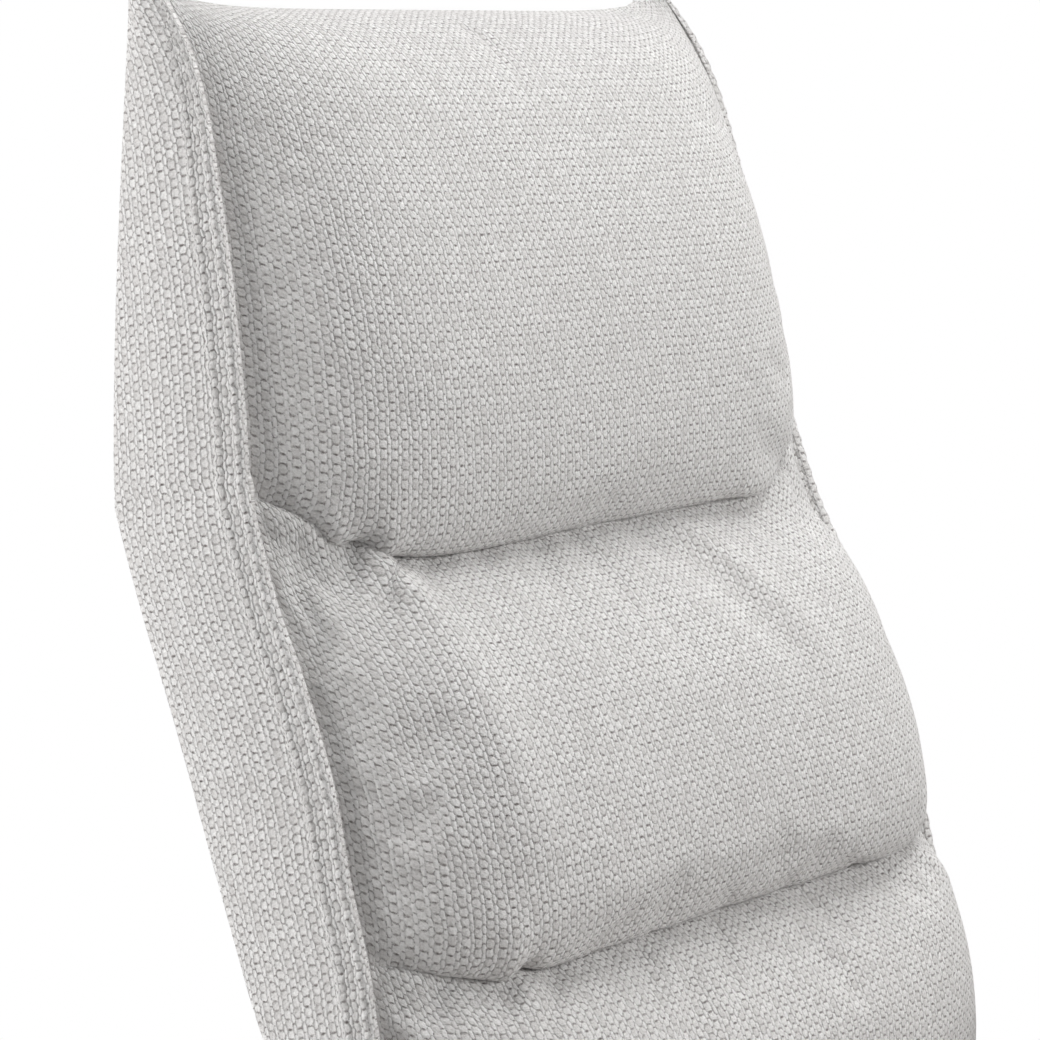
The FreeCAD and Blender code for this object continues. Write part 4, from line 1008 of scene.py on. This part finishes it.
BASE_PAINT = ((0.032, 0.032, 0.034), (0.060, 0.060, 0.062), 0.34, 0.50)
FRAME_PAINT = ((0.036, 0.036, 0.038), (0.066, 0.066, 0.069), 0.48, 0.66)
CYLINDER_PAINT = ((0.020, 0.020, 0.022), (0.040, 0.040, 0.042), 0.16, 0.30)
FINISHES = {
    "woven_fabric": woven_fabric(),
    "mat_rubber": rubber(),
    "base_paint": powder_coat("base_paint", *BASE_PAINT),
    "frame_paint": powder_coat("frame_paint", *FRAME_PAINT),
    "bright_steel": bright_steel(),
    "cylinder_paint": powder_coat("cylinder_paint", *CYLINDER_PAINT),
    "bush_plastic": moulded_plastic("bush_plastic", (0.66, 0.65, 0.61), (0.78, 0.77, 0.73)),
    "grip_plastic": moulded_plastic("grip_plastic", (0.030, 0.030, 0.032), (0.052, 0.052, 0.055)),
    "beech": wood("beech", (0.50, 0.34, 0.20), (0.68, 0.50, 0.33), (8.0, 90.0, 90.0)),
    "plywood": wood("plywood", (0.54, 0.40, 0.26), (0.72, 0.58, 0.42), (90.0, 10.0, 700.0)),
    "webbing": webbing(),
}
SLOT_OF = {}
for slot, nodes in {
    "mat_rubber": "base_mat",
    "base_paint": "base_plate column_tube",
    "frame_paint": "carriage_plate cross_tubes side_rail_right side_rail_left gas_bracket "
                   "lever_bracket back_uprights back_crossbars torque_tube recline_horn "
                   "head_hinge_lower head_hinge_upper head_frame footrest_arm_left "
                   "footrest_arm_right lever_handle",
    "bright_steel": "swivel_spindle recline_pins footrest_pins gas_rod horn_pin release_shaft "
                    "head_hinge_pins",
    "cylinder_paint": "gas_cylinder",
    "bush_plastic": "column_sleeve recline_bushes footrest_bushes",
    "grip_plastic": "lever_grip",
    "beech": "seat_timbers",
    "plywood": "arm_core_left arm_core_right footrest_board",
    "webbing": "seat_straps back_straps",
}.items():
    SLOT_OF.update({node: slot for node in nodes.split()})

for node, thing in frame["nodes"].items():
    thing.data.materials.clear()
    thing.data.materials.append(FINISHES[SLOT_OF.get(node, "woven_fabric")])


def dress(thing, body, nodes, slot="woven_fabric"):
    """Gives a piece its finish and hides the solids it stands for; a piece on one body is attached
    to it, one over two is left fixed in place.
    """
    thing.data.materials.clear()
    thing.data.materials.append(FINISHES[slot])
    if nodes:
        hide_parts(*nodes)
    if isinstance(body, str):
        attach(thing, body)
    else:
        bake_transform(thing)


OVER_NECK = ("back", "head")
dress(head_pillow, "head", ["head_pillow"])
dress(mid_pillow, "back", ["mid_pillow"])
dress(lumbar_pillow, "back", ["lumbar_pillow"])
dress(panels[-1], OVER_NECK, ["back_side_panel_right", "head_side_panel_right"])
dress(panels[1], OVER_NECK, ["back_side_panel_left", "head_side_panel_left"])
dress(flanges[-1], OVER_NECK, [])
dress(flanges[1], OVER_NECK, [])
dress(rear_fabric, OVER_NECK, ["back_rear_cover", "head_rear_cover"])
dress(gusset, OVER_NECK, [])
dress(top_strip, "head", [])
dress(seat_cushion, "seat", ["seat_cushion"])
dress(arms[-1], "seat", ["arm_right"])
dress(arms[1], "seat", ["arm_left"])
dress(apron, "seat", ["rear_apron"])
dress(footrest_pad, "footrest", ["footrest_pad"])
dress(arm_seams[-1], "seat", [])
dress(arm_seams[1], "seat", [])
dress(seat_strip, "seat", [])
dress(footrest_strip, "footrest", [])
dress(ring, "seat", [], slot="grip_plastic")


# Floor, light and camera

FLOOR_SIZE = 14.0
FLOOR_FADE = (0.75, 1.7)        # from the one to the other the floor goes over to plain white
WORLD_LIGHT = 0.13              # strength of the white world as a light; seen directly it is 1


def floor():
    """A plain pale floor that goes over to white away from the chair."""
    mesh = bpy.data.meshes.new("studio_floor")
    half = FLOOR_SIZE / 2
    corners = [(-half, -half, 0), (half, -half, 0), (half, half, 0), (-half, half, 0)]
    mesh.from_pydata(corners, [], [(0, 1, 2, 3)])
    thing = new_object("studio_floor", mesh)
    n = Nodes("studio_floor")
    place = object_place(n)
    away = n.add("ShaderNodeVectorMath", {0: place}, operation="LENGTH").outputs["Value"]
    grain = n.noise(place, 5.0, 3.0)
    pale = n.blend(grain, colour(0.86, 0.86, 0.855), colour(0.90, 0.90, 0.895))
    n.finish(Base_Color=pale, Roughness=0.85)
    white = n.add("ShaderNodeEmission", {"Color": colour(1, 1, 1), "Strength": 1.0})
    rays = n.add("ShaderNodeLightPath").outputs
    seen = n.math("MAXIMUM", rays["Is Camera Ray"], rays["Is Glossy Ray"])
    share = n.math("MULTIPLY", seen, n.ramp(away, *FLOOR_FADE))
    mix = n.add("ShaderNodeMixShader", {0: share, 1: n.shader.outputs[0], 2: white.outputs[0]})
    n.tree.links.new(mix.outputs[0], n.tree.nodes["Material Output"].inputs["Surface"])
    mesh.materials.append(n.material)


floor()

world = bpy.data.worlds.new("studio")
bpy.context.scene.world = world
world.use_nodes = True
tree = world.node_tree
light_path = tree.nodes.new("ShaderNodeLightPath")
seen = tree.nodes.new("ShaderNodeMath")
seen.operation = "MAXIMUM"
tree.links.new(light_path.outputs["Is Camera Ray"], seen.inputs[0])
tree.links.new(light_path.outputs["Is Glossy Ray"], seen.inputs[1])
strength = tree.nodes.new("ShaderNodeMapRange")
strength.inputs["To Min"].default_value = WORLD_LIGHT
strength.inputs["To Max"].default_value = 1.0
tree.links.new(seen.outputs[0], strength.inputs["Value"])
tree.nodes["Background"].inputs["Color"].default_value = colour(1, 1, 1)
tree.links.new(strength.outputs["Result"], tree.nodes["Background"].inputs["Strength"])


def area_light(name, place, target, size, power):
    lamp = bpy.data.lights.new(name, "AREA")
    lamp.size = size
    lamp.energy = power
    thing = new_object(name, lamp)
    thing.location = place
    way = Vector(target) - Vector(place)
    thing.rotation_euler = way.to_track_quat("-Z", "Y").to_euler()


AIM = (0.0, NECK[0], NECK[1])
area_light("key", (1.15, -2.15, 1.9), AIM, size=1.3, power=48)
area_light("left", (-1.95, 2.0, 1.4), AIM, size=1.2, power=52)
area_light("rim", (2.2, 0.8, 2.3), AIM, size=1.0, power=16)
area_light("top", (0.1, 0.1, 3.0), AIM, size=1.4, power=36)

# The photograph's view: how far the camera stands off the neck point, its heading and its pitch
CAMERA_FROM_NECK = (-1.3285, -1.2196, 0.2436)
CAMERA_HEADING = 47.0
CAMERA_PITCH = 9.08
CAMERA_LENS = 104.75
CAMERA_SENSOR = 36.0
camera = new_object("camera", bpy.data.cameras.new("camera"))
camera.data.lens = CAMERA_LENS
camera.data.sensor_width = CAMERA_SENSOR
camera.location = Vector(AIM) + Vector(CAMERA_FROM_NECK)
camera.rotation_euler = (math.radians(90 - CAMERA_PITCH), 0.0, -math.radians(CAMERA_HEADING))
bpy.context.scene.camera = camera
bpy.context.scene.view_settings.view_transform = "Standard"
